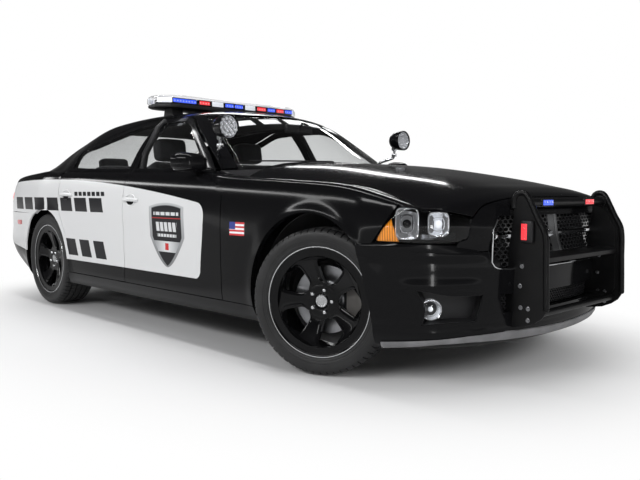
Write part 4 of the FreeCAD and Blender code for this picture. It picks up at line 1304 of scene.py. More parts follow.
both_sides(fog_pocket, "fog_pocket", trim, thick=.003)
FOG = round_skin("nose", 56.3, .373) - lean_of(50) * .04
# The fog lamp bowls take the reflector finish, whose glow is painted light.
for word, sign in SIDES:
    at, way = FOG * (1, sign, 1), lean_of(42) * (1, sign, 1)
    done(placed(turned([(-.04, 0), (-.036, .018), (-.022, .034), (0, .0415), (.004, .0435), (.006, .0465),
        (0, .0475), (-.03, .0475)], 48), at, way), f"fog_bowl_{word}", reflector)
    done(placed(turned([(.004, .0425), (.0115, .036), (.0155, .022), (.017, 0)], 48), at, way),
        f"fog_lens_{word}", lens, thick=.002)
    done(placed(turned([(-.034, 0), (-.03, .01), (-.012, .012), (-.004, .008), (-.002, 0)], 24), at, way),
        f"fog_bulb_{word}", white_lit, "body", ["fog_lamps"] if sign > 0 else ())
print("fog lamps made at", np.round(FOG, 3).tolist())

# %% Cheeks, bridge and ledges
def beak():
    """The painted part between the headlamp and the grille, up to the hood."""
    inner = [(38.9, .634), (39.2, .68), (38.6, .722), (37.4, .76), (36.3, .786)]
    outer = [(50.2, .63), (49.6, .664), (46.8, .69), (46.2, .726), (45.7, .775)]
    flat = between(path(inner, 21), path(outer, 21), 12)
    return outward(spread(round_skin("nose", flat[..., 0], flat[..., 1])))


both_sides(beak, "nose_cheek", paint, thick=.012, edge=.003)


def nose_bridge():
    """The strip over the grille, up to the hood's front edge."""
    bearing = np.concatenate([np.linspace(0, 36.3, 24), np.linspace(36.3, 45.7, 9)[1:]])
    low = round_skin("nose", bearing, np.interp(bearing, (0, 36.3, 45.7), (.786, .786, .775)))
    brow = near([(.76, 0, .88), (.758, .2, .876), (.758, .36, .868), (.759, .5, .852),
        (.748, .59, .826), (.739, .64, .781)], 32)
    return whole(settle(between(low, brow, 12)))


def lamp_ledge():
    """The rolled strip of the cover that carries the headlamp."""
    bearing = np.linspace(43.5, 77, 50)
    low_z = np.interp(bearing, (43.5, 50.5, 58.5, 65.5, 77), (.628, .627, .63, .644, .662))
    high_z = np.interp(bearing, (43.5, 47, 50, 56, 64.7, 71, 77),
        (.64, .652, .66, .664, .668, .672, .667))
    low, high = round_skin("nose", bearing, low_z), round_skin("nose", bearing, high_z)
    lean = lean_of(bearing)
    bulge = .008 * step(bearing, 38, 44)[:, None] * lean
    rows = [low + bulge, settle(low * .75 + high * .25) + bulge * .9,
        settle(low * .4 + high * .6) + bulge * .4, high - lean * .004, high - lean * .03]
    return outward(spread(rows))


both_sides(lamp_ledge, "lamp_ledge", paint, edge=.0)
done(nose_bridge(), "nose_bridge", paint, thick=.012, edge=.003)
print("front end made")

# %% [markdown]
# ### Rear bumper and lamps
# The same table of bearings and heights makes the rear bumper, with a recess for a plate and a cut-out
# for each tailpipe. The lamps are one band of dark red lens round the tail with a bright outline in it.

# %% Rear bumper
TAIL_KEYS = [
    [(0, .205), (16.5, .205), (26, .205), (36, .204), (47, .202), (60, .199), (70, .197), (82.2, .198)],
    [(0, .262), (16.5, .262), (26, .262), (36, .262), (47, .262), (60, .262), (70, .262), (81.2, .262)],
    [(0, .335), (16.5, .335), (26.5, .335), (35.5, .335), (47, .336), (60, .337), (70, .338), (80.4, .338)],
    [(0, .405), (16.5, .405), (26, .408), (36, .412), (47, .416), (60, .42), (70, .424), (80.8, .428)],
    [(0, .47), (16.5, .47), (26, .474), (36, .478), (47, .482), (60, .486), (70, .49), (81.8, .494)],
    [(0, .61), (16.5, .61), (26, .612), (36, .614), (47, .616), (60, .62), (70, .622), (86.2, .624)],
    [(0, .664), (16.5, .664), (26, .665), (36, .666), (47, .668), (60, .67), (70, .672), (88.9, .674)],
    [(0, .722), (16.5, .722), (26, .722), (36, .722), (47, .722), (60, .722), (70, .722), (94.0, .723)],
]
TAIL_DOWN, TAIL_ACROSS = (3, 4, 4, 4, 6, 3, 3), (8, 6, 6, 7, 8, 7, 10)
PIPE_CELLS, PLATE_CELLS = {(0, 2), (1, 2)}, {(4, 0)}


def tail_relief(points, flat):
    """A crease across the bumper and a tuck under it."""
    bearing, z = flat[..., 0], flat[..., 1]
    rib = .01 * step(z, .405, .475) * (1 - step(z, .475, .62)) * (1 - step(bearing, 62, 80))
    away = lean_of(bearing) * (-1, 1, 1)
    tuck = .01 + .06 * step(bearing, 18, 40)
    return points + away * (rib - tuck * (1 - step(z, .2, .44)) * (1 - step(bearing, 66, 81)))[..., None]


tail_half, TAIL_COVER = wrap("tail", TAIL_KEYS, TAIL_DOWN, TAIL_ACROSS, PIPE_CELLS | PLATE_CELLS,
    tail_relief)
done(outward(both_halves(tail_half)), "rear_cover", wrapped, "body", "rear_bumper", thick=.012, edge=.0025)
print("rear bumper", TAIL_COVER.shape[:2], "points in its left half")

# %% Plate recess and tailpipes
PLATE_X = float(TAIL_COVER[18, 0, 0])
done(block((PLATE_X + .016, -.262, .462), (PLATE_X + .02, .262, .618), .001, 1), "plate_recess", trim)
done(block((PLATE_X + .006, -.152, .476), (PLATE_X + .0085, .152, .604), .0009, 1), "plain_plate",
    white_film)
done(repeated(lambda: bolt(.006), [((PLATE_X + .006, s * .125, z), (-1, 0, 0)) for s in (1, -1)
    for z in (.487, .593)]), "plate_bolts", steel)
done(joined(*[block((PLATE_X - .004, s * .075 - .025, .606), (PLATE_X + .012, s * .075 + .025, .616), .002)
    for s in (1, -1)]), "plate_lamps", white_lit)


def pipe_surround():
    """The turned-in edge of a tailpipe's cut-out."""
    loop = cell_loop(TAIL_COVER, TAIL_DOWN, TAIL_ACROSS, (0, 2), (2, 3))
    middle = loop.mean(0)
    return outward(sunk(loop, (1, 0, 0), depth=.1, shrink=.04, back=False),
        lambda p: -np.hypot(p[..., 1] - middle[1], p[..., 2] - middle[2]))


both_sides(pipe_surround, "pipe_surround", trim, thick=.003)


def pipe_tip():
    bm = turned([(-.15, .034), (-.004, .037), (0, .0365), (.001, .035), (-.002, .0335), (-.06, .0325),
        (-.06, 0)], 40)
    return placed(bm, (-4.19, .52, .245), (-1, 0, 0))


both_sides(pipe_tip, "pipe_tip", chrome)
print("plate stands at x", round(PLATE_X, 3))

# %% Corners and lamp bands
def tail_corner():
    """The painted corner between the quarter, the lid and the bumper."""
    outer = on_skin("side", path([(-3.955, .729), (-3.959, .86), (-3.972, .922), (-3.997, .944)], 25))
    inner_low = on_skin("rear", [(.707, .729)])[0]
    inner_top = on_skin("top", [(-4.03, .708)])[0]
    rise = np.linspace(0, 1, 25)[:, None]
    inner = settle(inner_low * (1 - rise) + inner_top * rise + (np.sin(rise * np.pi) * .06) * (-1, 0, 0))
    low = settle(outer[0] * (1 - rise) + inner[0] * rise
        + np.sin(rise * np.pi) * .05 * np.array([[-1, 0, 0]]))
    high = settle(outer[-1] * (1 - rise) + inner[-1] * rise)
    return outward(spread(settle(coons(low, high, outer, inner))))


both_sides(tail_corner, "tail_corner", paint, thick=.012, edge=.0015)


def band(low_bearing, high_bearing, low_z, high_z, across, down, out):
    b, z = np.meshgrid(np.linspace(low_bearing, high_bearing, across), np.linspace(low_z, high_z, down),
        indexing="ij")
    return round_skin("tail", b, z, out)


def around(points, out):
    """A bent tube round the tail through (bearing, height) points."""
    run = path(points, 70)
    return tube(round_skin("tail", run[:, 0], run[:, 1], out), .0055, 10)


done(outward(spread(band(-40.6, 40.6, .803, .925, 80, 12, .0035))), "lid_lens", smoked, "trunk_lid",
    "tail_lamp_strip", thick=.012, edge=.0025)
done(joined(around([(-40.4, .905), (0, .907), (40.4, .905)], .0045),
    around([(-40.4, .823), (0, .821), (40.4, .823)], .0045)), "lid_light_line", red_lit, "trunk_lid",
    slot="red_lamp")
both_sides(lambda: outward(spread(band(42.2, 51.2, .803, .925, 14, 12, .0035))), "tail_lens", smoked,
    thick=.012, edge=.003)
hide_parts("tail_lamps")
both_sides(lambda: around([(42.3, .905), (46.5, .904), (49.2, .895), (50.1, .864), (49.2, .833),
    (46.5, .824), (42.3, .823)], .0045), "tail_light_line", red_lit, slot="red_lamp")
# The rear reflectors take the faintly glowing red lens, so their glow is painted light.
both_sides(lambda: outward(spread(band(38, 46, .42, .446, 12, 4, .014))), "rear_reflector", red_lens,
    thick=.006, edge=.0015)
print("rear bumper and lamps made")

# %% [markdown]
# ### Headlamps
# A clear cover on the skin, and behind it a black housing with two bright bowls and an amber corner. The
# housing is the cover's own grid pushed back, so that both have the same outline.

# %% The lamp's outline
LENS_TOP = [(.418, .923, .681), (.453, .922, .736), (.504, .9, .794), (.536, .878, .824),
    (.611, .818, .817), (.684, .745, .803), (.731, .647, .779)]
LENS_LOW = [(.42, .921, .676), (.455, .911, .674), (.516, .883, .671), (.59, .822, .668),
    (.64, .77, .667), (.7, .69, .672), (.731, .65, .7)]


def lamp_grid(depth=0.0, rows=14, n=40):
    return settle(between(near(LENS_LOW, n), near(LENS_TOP, n), rows), skin, -depth)


def lamp_cover():
    """The clear cover."""
    return outward(spread(lamp_grid(.004)))


def lamp_housing():
    """Four walls and a back, stepped like a moulding."""
    front, back = lamp_grid(.006), lamp_grid(.006) + np.array((-.13, -.05, .0))
    middle = front.mean((0, 1))
    back = (back - back.mean((0, 1))) * (.96, .96, .9) + back.mean((0, 1))
    bm = spread(back)
    loop = [np.concatenate([g[0], g[1:, -1], g[-1, -2::-1], g[-2:0:-1, 0]]) for g in (front, back)]
    loop = [np.concatenate([g, g[:1]]) for g in loop]
    wall_rows = between(loop[0], loop[1], 6)
    return outward(spread(wall_rows, bm), lambda p: -np.linalg.norm(p - middle - (.2, .3, .05), axis=-1))


print("lamp grid", lamp_grid().shape[:2])

# %% Bowls, rings, bulbs and fins
def bowl(radius, depth):
    """A reflector with a rolled rim, bright from its chrome and from a painted glow."""
    inside = [(-depth * (1 - (r / radius) ** 2), r) for r in np.linspace(0, radius, 12)[1:]]
    return turned([(-depth, 0)] + inside + [(.004, radius + .002), (.006, radius + .005),
        (-.002, radius + .008), (-.01, radius + .006)])


LAMP_WAY = lean_of(46) + (0, 0, .04)
# The headlamp bowls take the reflector finish, whose glow is painted light.
for word, sign in SIDES:
    way = Vector(LAMP_WAY * (1, sign, 1))
    for k, (bearing, z, radius, width, deep) in enumerate(((62.4, .757, .062, .74, .026),
            (54.6, .755, .047, .86, .03))):
        at = (round_skin("nose", bearing, z) - lean_of(50) * deep) * (1, sign, 1)
        bm = squarish(bowl(radius, .042), 5 if k == 0 else 4, width, 1.0)
        done(placed(bm, at, way), f"lamp_bowl_{k}_{word}", reflector)
        ring = squarish(turned([(-.006, radius * .62), (.0, radius * .66), (.002, radius * .62),
            (-.004, radius * .58)], 40), 3, width, 1.0)
        done(placed(ring, at, way), f"lamp_ring_{k}_{word}", chrome, slot="lamp")
        bulb = turned([(-.038, 0), (-.038, .012), (-.018, .015), (-.012, .019), (-.006, .014), (-.002, .0)],
            24)
        done(placed(bulb, at, way), f"lamp_bulb_{k}_{word}", white_lit if k else gloss_trim, slot="lamp")
        fins = joined(*[block((-.03, -.0012 + d * radius, -radius * .62),
            (-.012, .0012 + d * radius, radius * .62), 0) for d in (-.42, .42)])
        done(placed(fins, at, way), f"lamp_fins_{k}_{word}", gloss_trim, slot="lamp")

# %% Cover, housing and markers
both_sides(lamp_cover, "headlamp_lens", lens, "body", ["headlamps"], thick=.003)
both_sides(lamp_housing, "headlamp_housing", gloss_trim)


def amber_corner():
    """The amber reflector in the lamp's outer corner."""
    return outward(spread(lamp_grid(.014, 14, 60)[:, :15]))


both_sides(amber_corner, "amber_marker", amber, thick=.006)


def lamp_brow():
    """Bright lower shelf inside the lamp."""
    g = lamp_grid(.03, 14, 60)
    return outward(spread(np.stack([g[1, 16:56], g[1, 16:56] + (-.05, -.02, .004),
        g[2, 16:56] + (-.06, -.025, .01)])))


both_sides(lamp_brow, "lamp_shelf", chrome, slot="lamp")
print("headlamps made")

# %% [markdown]
# ### Grille, intake and chin
# The grille is a net of flattened hexagons with a bright cross in front of it. One hexagonal ring is
# mapped on to a surface a little behind the nose for each cell, so the net follows the nose. Each ring has
# only two dozen faces, because there are hundreds of them.

# %% A net on the nose
GRILLE_HALF = [(0, .548), (15, .548), (30, .548), (34.6, .55), (37.6, .562), (38.9, .59), (39.2, .634),
    (39.2, .68), (38.6, .722), (37.4, .76), (36.3, .788), (33, .796), (15, .8), (0, .8)]


def nose_x(y, z, back=0.0):
    """x of the nose at given places of a front view."""
    y, z = np.asarray(y, float), np.asarray(z, float)
    bearing = np.degrees(np.arctan2(y, .69 + 0 * z))
    for _ in range(4):
        at = round_skin("nose", bearing, z)
        bearing = np.degrees(np.arctan2(y, at[..., 0] - HUB["nose"][0]))
    return at[..., 0] - back


def inside_of(outline, y, z):
    """Whether places of a front view lie inside a closed outline."""
    inside = np.zeros(np.shape(y), bool)
    for (y0, z0), (y1, z1) in zip(outline, np.roll(outline, -1, 0)):
        crosses = ((z0 > z) != (z1 > z)) & (y < (y1 - y0) * (z - z0) / (z1 - z0 + 1e-12) + y0)
        inside ^= crosses
    return inside


def front_loop(half, n=60):
    """A closed loop on the nose from the bearings and heights of its left half."""
    flat = path(half, n)
    left = round_skin("nose", flat[:, 0], flat[:, 1])
    return np.concatenate([left, left[-2:0:-1] * (1, -1, 1)])


def net(outline, wide, high, back, wall=.8, deep=.012):
    """Hexagonal rings that fill an outline of a front view."""
    reach, low, top_ = outline[:, 0].max(), outline[:, 1].min(), outline[:, 1].max()
    spots = []
    for row, z in enumerate(np.arange(low, top_ + high, high * .75)):
        for y in np.arange(-reach, reach + wide, wide) + (wide / 2 if row % 2 else 0):
            spots.append((y, z))
    spots = np.array(spots)
    spots = spots[inside_of(outline, spots[:, 0], spots[:, 1])]
    turn = np.radians(np.arange(7) * 60 + 90)
    ring = points_of(np.cos(turn) * wide / math.sqrt(3), np.sin(turn) * high / 2)
    shape = np.array([ring, ring * wall, ring * wall, ring, ring])
    depth = np.array([0, 0, deep, deep, 0])[:, None] + back
    bm = bmesh.new()
    places = spots[:, None, None, :] + shape[None]
    x = nose_x(places[..., 0], places[..., 1]) - depth
    for front, flat in zip(x, places):
        spread(points_of(front, flat[..., 0], flat[..., 1]), bm)
    bmesh.ops.remove_doubles(bm, verts=bm.verts, dist=.0002)
    bmesh.ops.recalc_face_normals(bm, faces=bm.faces)
    return bm


grille_loop = front_loop(GRILLE_HALF)
done(net(grille_loop[:, 1:] * (.985, 1), wide=.038, high=.0235, back=.03), "grille_net", net_gloss, "body",
    "grilles")

# %% Surround and bright outline
def surround(loop, back=.034):
    """The return of the grille opening, from its outer edge back to the net."""
    rows = [loop + (.002, 0, 0), loop * (1, .992, 1) + (-.004, 0, 0), loop * (1, .975, 1) + (-.014, 0, 0),
        loop * (1, .965, 1) + (-back, 0, 0), loop * (1, .965, 1) + (-back - .02, 0, 0)]
    rows = [np.concatenate([r, r[:1]]) for r in rows]
    middle = loop.mean(0)
    return outward(spread(rows), lambda p: -np.linalg.norm((p - middle)[..., 1:], axis=-1))


done(surround(grille_loop), "grille_surround", gloss_trim, thick=.003)
rail = front_loop(GRILLE_HALF, 90)
rail = rail[np.abs(rail[:, 2] - .8) > .012]
start = int(np.argmax(np.linalg.norm(np.roll(rail, -1, 0) - rail, axis=1))) + 1
done(tube(np.roll(rail, -start, 0) + (.001, 0, 0), .0042, 10), "grille_outline", chrome)
print("outline of the grille in", len(rail), "points")

# %% The bright cross
def bar_on_nose(rail, across, half, back, rise=.016):
    """A bright bar along a line of a front view: a dark flat between two sloping faces."""
    widths, lifts = (-1, -.92, -.35, -.25, .25, .35, .92, 1), (-.012, 0, rise, rise * .8, rise * .8, rise,
        0, -.012)
    rows = []
    for w, lift in zip(widths, lifts):
        flat = rail + np.array(across) * half * w
        rows.append(points_of(nose_x(flat[:, 0], flat[:, 1], back) + lift, flat[:, 0], flat[:, 1]))
    bm = spread(rows)
    return outward(bm, lambda p: p[..., 0])


upright = points_of(0, np.linspace(.553, .797, 25))
level = points_of(np.linspace(-.49, .49, 61), .694)
done(joined(bar_on_nose(upright, (1, 0), half=.046, back=.03),
    bar_on_nose(level, (0, 1), half=.018, back=.03, rise=.012)), "grille_cross", chrome, thick=.003)
print("cross made")

# %% Intake and chin
intake_loop = cell_loop(COVER, STEPS_DOWN, STEPS_ACROSS, (2, 4), (0, 2))
intake_loop = intake_loop[intake_loop[:, 1] > .001]
intake_outline = np.concatenate([intake_loop[:, 1:], intake_loop[::-1, 1:] * (-1, 1)])
done(net(intake_outline, wide=.024, high=.016, back=.036, wall=.78, deep=.008), "intake_net", trim)


def intake_return():
    """The turned-in edge of the lower intake."""
    low = COVER[sum(STEPS_DOWN[:2]), :sum(STEPS_ACROSS[:2]) + 1]
    side = COVER[sum(STEPS_DOWN[:2]):sum(STEPS_DOWN[:4]) + 1, sum(STEPS_ACROSS[:2])]
    top_ = COVER[sum(STEPS_DOWN[:4]), :sum(STEPS_ACROSS[:2]) + 1]
    half = np.concatenate([low, side[1:-1], top_[::-1]])
    rows = [half, half + (-.02, 0, 0), half + (-.05, 0, 0)]
    return outward(both_halves(spread(rows)), lambda p: -np.abs(p[..., 2] - .39))


done(intake_return(), "intake_return", gloss_trim, thick=.003)
done(block((.6, -.47, .3), (.64, .47, .84), .004), "radiator_shade", trim)


def chin():
    """The grey air dam under the bumper."""
    bearing = np.linspace(0, 70, 80)
    z_top = np.interp(bearing, (0, 25, 34, 46, 54, 64, 70), (.25, .258, .262, .256, .245, .234, .226))
    z_low = np.interp(bearing, (0, 25, 46, 54, 64, 70), (.212, .22, .226, .222, .205, .196))
    a, b = round_skin("nose", bearing, z_top), round_skin("nose", bearing, z_low)
    lean = lean_of(bearing)
    rows = np.array([a + lean * .006, a + lean * .016, a * .5 + b * .5 + lean * .02, b + lean * .016,
        b - lean * .01, b - lean * .05])
    return outward(both_halves(spread(rows)), lambda p: np.linalg.norm(p[..., :2] - (.1, 0), axis=-1))


done(chin(), "chin_strip", grey_strip, thick=.004)
print("grille, intake and chin made")

# %% [markdown]
# ## Wheels
# A tyre is one spun profile. Its tread blocks come from pushing some of the spun columns inwards, because
# that keeps the carcass and the blocks one closed shape. The spokes are rows of one cross-section,
# widening into the rim, and the same spoke is turned five times.

# %% Where the wheels stand, and a tyre's profile
STEER = math.radians(21)
WHEELS = []
for word, sign in SIDES:
    WHEELS.append(("front", word, (0, TRACK * sign, RADIUS),
        (-math.sin(STEER) * sign, math.cos(STEER) * sign, 0)))
    WHEELS.append(("rear", word, (-BASE, TRACK * sign, RADIUS), (0, sign, 0)))

# (distance from the tyre's middle plane, radius), from the bead out to the shoulder
SIDEWALL = [(.086, .258), (.104, .26), (.1085, .266), (.1095, .2745), (.1135, .2765), (.116, .281),
    (.1168, .286), (.1152, .2885), (.1182, .296), (.1186, .3005), (.1206, .302), (.1222, .312),
    (.1226, .322), (.1215, .331), (.119, .339), (.115, .3465), (.1085, .353), (.102, .3565)]
GROOVES, PITCHES = (-.066, -.0225, .0225, .066), 60
PHASES = (0, .03, .16, .19, .46, .73)


def tyre_profile():
    """Sidewall, crown with its four grooves, the other sidewall and the liner."""
    crown = [(g + d, r) for g in GROOVES for d, r in ((-.0056, .3612), (-.0044, .3535), (.0044, .3535),
        (.0056, .3612))]
    crown = sorted(crown + [(a, .3612) for a in (-.088, -.078, -.044, 0, .044, .078, .088)])
    crown = [(a, r - .004 * (a / .1) ** 2) for a, r in crown]
    liner = [(-.06, .33), (0, .34), (.06, .33), (.086, .258)]
    return [(a, r) for a, r in SIDEWALL] + crown[::-1] + [(-a, r) for a, r in SIDEWALL[::-1]] + liner


print("wheels", len(WHEELS), "steered by", round(math.degrees(STEER)), "degrees")

# %% A tyre
def tyre():
    """The spun profile with its blocks pressed in, column by column."""
    bm = turned(tyre_profile(), PITCHES * len(PHASES))
    for v in bm.verts:
        r, a = math.hypot(v.co.y, v.co.z), v.co.x
        if r < .3 or (abs(a) < .07 and r < .3515):
            continue
        column = round(math.atan2(v.co.z, v.co.y) / (2 * math.pi) * PITCHES * len(PHASES))
        pitch, k = divmod(column, len(PHASES))
        slant = .35 * abs(a) / .12 if r > .335 else 0
        if r > .335:
            offset = 0 if abs(a) > .07 else .5 if abs(a) > .028 else .25
            narrow = 1 if abs(a) > .07 else .6
            turn = (pitch + PHASES[k] * narrow + offset + slant) / PITCHES * 2 * math.pi
            deep = k in (1, 2) and abs(a) > .012
            r -= (.0062 if r > .345 else .003) if deep and r > .34 else 0
        else:
            turn = column / (PITCHES * len(PHASES)) * 2 * math.pi
            if .3 < r < .303 and (pitch // 10) % 3 == 0:
                v.co.x += math.copysign(.0007 * (column % 2), a)
        v.co.y, v.co.z = r * math.cos(turn), r * math.sin(turn)
    return bm


print("points in a tyre profile", len(tyre_profile()))

# %% Rim and spokes
def barrel():
    """The rim's flange, its deep inner wall and the back of the wheel, as one closed profile."""
    return turned([(.098, .27), (.1085, .2706), (.1105, .269), (.1102, .2655), (.1085, .264),
        (.1066, .26), (.1055, .253), (.1048, .244), (.1044, .23), (.1036, .224), (.099, .2228),
        (.07, .2235), (.03, .2255), (-.05, .23), (-.09, .239), (-.104, .256), (-.108, .269),
        (-.104, .2712), (-.097, .2706), (-.088, .258), (-.05, .24), (.04, .236), (.085, .252),
        (.092, .26), (.098, .27)], 96)


FACE = curve((.06, .0664), (.095, .0668), (.11, .069), (.13, .074), (.15, .08), (.18, .0905),
    (.2, .098), (.212, .1018), (.222, .1042), (.232, .1046))
SPOKE_HALF = curve((.06, .0376), (.084, .0527), (.09, .049), (.096, .043), (.104, .038), (.116, .0358),
    (.14, .0388), (.17, .044), (.19, .0492), (.203, .056), (.211, .067), (.2165, .082),
    (.2205, .104), (.2238, .1405))
# radii at which a spoke's cross-section is placed
STATIONS = np.concatenate([np.linspace(.06, .084, 4), np.linspace(.087, .12, 9),
    np.linspace(.13, .195, 8), np.linspace(.2, .2195, 9), (.2212, .2225, .2238)])


def spoke(roll):
    """One spoke: a flat face with a sloping flank on each side and deep side walls."""
    rows = []
    for r in STATIONS:
        half, face = float(SPOKE_HALF(r)), float(FACE(r))
        flank = min(.015, .42 * half)
        drop_ = .0085 * (1 - float(step(r, .205, .2225))) * float(step(r, .088, .108))
        section = [(-half, face - drop_), (-half + flank * .35, face - drop_ * .8), (-half + flank, face),
            (-half * .3, face - .0012), (half * .3, face - .0012), (half - flank, face),
            (half - flank * .35, face - drop_ * .8), (half, face - drop_), (half * .96, face - .02),
            (half * .9, face - .042), (0, face - .044), (-half * .9, face - .042),
            (-half * .96, face - .02), (-half, face - drop_)]
        rows.append([(a, r * math.cos(t / r + roll), r * math.sin(t / r + roll)) for t, a in section])
    return sealed(spread(rows), .00002)


print("rows in a spoke", len(STATIONS))

# %% Hub, nuts, cap and disc
def hub_face():
    return turned([(.02, .001), (.02, .083), (.06, .085), (.0655, .084), (.0662, .081),
        (.0662, .042), (.065, .0385), (.06, .0365), (.059, .033), (.059, .001)], 80)


def wheel_nut():
    return turned([(.05, .0), (.05, .012), (.0665, .012), (.072, .011), (.0758, .0075), (.077, .0)],
        12)


def centre_cap():
    return turned([(.05, .0), (.05, .0315), (.0655, .0315), (.068, .03), (.0688, .027),
        (.069, .0255), (.0684, .0245), (.0688, .018), (.0695, .0)], 64)


def brake_disc():
    """A vented disc: two faces, the gap between them, and the hat in its middle."""
    plate_ = [(-.018, .078), (-.018, .1705), (-.0165, .1715), (-.0085, .1715), (-.0075, .169),
        (-.004, .169), (-.003, .1715), (.005, .1715), (.0065, .1705), (.0065, .104), (.0052, .102),
        (.0052, .09), (.0065, .088), (.0065, .083), (.017, .08), (.019, .076), (.019, .033),
        (-.018, .033), (-.018, .078)]
    return turned(plate_, 96)


print("hub ready")

# %% Four wheels
for end, word, at, way in WHEELS:
    wheel = f"{end}_wheel_{word}"
    done(placed(tyre(), at, way), f"{end}_tread_{word}", rubber_tyre, wheel, f"{end}_tyre_{word}", sharp=28)
    start = math.radians(37 if end == "front" else 90)
    body = joined(barrel(), hub_face(), *[spoke(start + k * math.tau / 5) for k in range(5)])
    done(placed(body, at, way), f"{end}_alloy_{word}", wheel_black, wheel, f"{end}_rim_{word}", edge=.0012,
        sharp=30)
    ring = turned([(.107, .2712), (.1112, .2714), (.1122, .2706), (.1122, .2672), (.1112, .2662),
        (.1075, .2665), (.107, .2712)], 128)
    done(placed(ring, at, way), f"{end}_ring_{word}", steel_bright, wheel)
    done(placed(centre_cap(), at, way), f"{end}_cap_{word}", cap_silver, wheel)
    nuts = joined(*[placed(wheel_nut(), (0, .0575 * math.cos(a), .0575 * math.sin(a)))
        for a in (start + (k + .5) * math.tau / 5 for k in range(5))])
    done(placed(nuts, at, way), f"{end}_nuts_{word}", chrome, wheel)
    done(placed(brake_disc(), at, way), f"{end}_disc_{word}", steel, wheel, edge=.0008)

# %% [markdown]
# ## Push bumper
# Two steel plates stand in front of the nose, each with a tube welded round its front edge, joined by a
# tube at the top and a folded shelf lower down. The plates are slabs cut to an outline.

# %% Plates and tubes
PLATE_Y, PLATE_THICK = .4, .008
PLATE_EDGE = [(.77, .274), (.858, .288), (.906, .309), (.94, .334), (.958, .362), (.96, .385),
    (.955, .54), (.95, .69), (.944, .712), (.912, .77), (.868, .856), (.853, .88), (.836, .888),
    (.812, .886), (.797, .872), (.792, .848), (.792, .8), (.774, .666), (.766, .569), (.752, .49),
    (.733, .395), (.722, .32), (.738, .284)]
TUBE_RUN = [(.958, .378), (.956, .46), (.953, .56), (.95, .68), (.943, .716), (.912, .772),
    (.884, .828), (.864, .866), (.85, .884), (.832, .89), (.812, .887), (.798, .874), (.792, .852),
    (.792, .82)]


def guard_plate():
    """One upright: the plate, a thinner stiffener inside it and the tube round its front edge."""
    plate_ = slab(PLATE_EDGE, PLATE_Y - PLATE_THICK / 2, PLATE_Y + PLATE_THICK / 2)
    inner = [(.83 + (x - .83) * .74, .6 + (z - .6) * .86) for x, z in PLATE_EDGE]
    stiffener = slab(inner, PLATE_Y - PLATE_THICK / 2 - .004, PLATE_Y - PLATE_THICK / 2 + .001)
    run = path(TUBE_RUN, 60)
    rail = tube(points_of(run[:, 0], PLATE_Y, run[:, 1]), .0135, 16)
    tip = placed(turned([(0, .0135), (-.006, .0125), (-.011, .0085), (-.0135, 0)], 16),
        (.958, PLATE_Y, .378), (0, 0, 1))
    return joined(plate_, stiffener, rail, tip)


both_sides(guard_plate, "guard_plate", guard_coat, edge=.0015)
print("two guard plates made")

# %% Bars, shelf and feet
def guard_bars():
    """What joins the two plates: the top tube, the folded shelf, the low tube and the feet."""
    top_bar = tube([(.838, y, .845) for y in np.linspace(-PLATE_Y + .004, PLATE_Y - .004, 5)], .0205, 24)
    flanges = joined(*[placed(turned([(0, .0), (0, .03), (.006, .03), (.008, .028), (.008, 0)], 32),
        (.838, s * (PLATE_Y - .004), .845), (0, -s, 0)) for s in (1, -1)])
    shelf = slab([(.926, .576), (.93, .58), (.93, .598), (.926, .603), (.832, .612), (.828, .609),
        (.828, .603), (.916, .594), (.92, .59), (.92, .578), (.922, .576)], -PLATE_Y + .004,
        PLATE_Y - .004)
    low_bar = tube([(.905, y, .345) for y in np.linspace(-PLATE_Y + .004, PLATE_Y - .004, 5)], .016, 20)
    feet = joined(*[slab([(.7, .318), (.86, .318), (.9, .33), (.9, .362), (.86, .372), (.7, .372)],
        s * (PLATE_Y - .016) - .004, s * (PLATE_Y - .016) + .004) for s in (1, -1)])
    return joined(top_bar, flanges, shelf, low_bar, feet)


done(guard_bars(), "guard_bars", guard_coat, "body", "push_bumper", edge=.0012)
print("guard bars made")

# %% Bolts and warning lamps
BOLTS = [(.835, .372), (.872, .37), (.872, .318), (.838, .56), (.83, .47)]
done(repeated(bolt, [((x, s * (PLATE_Y + PLATE_THICK / 2), z), (0, s, 0)) for x, z in BOLTS
    for s in (1, -1)] + [((x, s * (PLATE_Y - PLATE_THICK / 2 - .004), z), (0, -s, 0)) for x, z in BOLTS
    for s in (1, -1)]), "guard_bolts", steel)


def light_head(width, high, deep, rim=.004):
    """A small warning lamp: a housing with a bevelled window, looking along +X."""
    return block((-deep, -width / 2, -high / 2), (0, width / 2, high / 2), rim, 3)


def led_window(width, high, count, out=.0012):
    """The window of a warning lamp, with a row of lens domes behind it."""
    domes = joined(*[placed(turned([(out, min(width / count, high) * .42),
        (out + .002, min(width / count, high) * .3), (out + .003, 0)], 14),
        (0, (k + .5) * width / count - width / 2, 0)) for k in range(count)])
    return joined(block((-.002, -width / 2, -high / 2), (out, width / 2, high / 2), .0008, 1), domes)


for word, sign, lit in (("left", 1, red_lit), ("right", -1, blue_lit)):
    at = Vector((.86, .215 * sign, .845))
    done(placed(light_head(.112, .034, .012), at, (1, 0, 0)), f"bar_lamp_house_{word}", trim)
    done(placed(led_window(.092, .024, 6), at, (1, 0, 0)), f"bar_lamp_{word}", lit, slot="lamp")
for word, sign in SIDES:
    at = Vector((.866, (PLATE_Y + .024) * sign, .717))
    done(placed(light_head(.06, .098, .022, .009), at, (0, sign, 0)), f"side_lamp_house_{word}", trim)
    window_at = at + Vector((-.01, .0, 0))
    done(placed(led_window(.072, .028, 5), window_at, (0, sign, 0), math.pi / 2), f"side_lamp_{word}",
        red_lit, "body", ["guard_lamps"] if sign > 0 else ())
print("push bumper made")

# %% [markdown]
# ## Light bar and spotlamps
# The bar is a clear cover on a black base, over a row of lamp modules: each is a block of reflectors in
# its own colour. The cover is its plan outline at a few heights, drawn in towards the top, because its
# ends slope in plan.

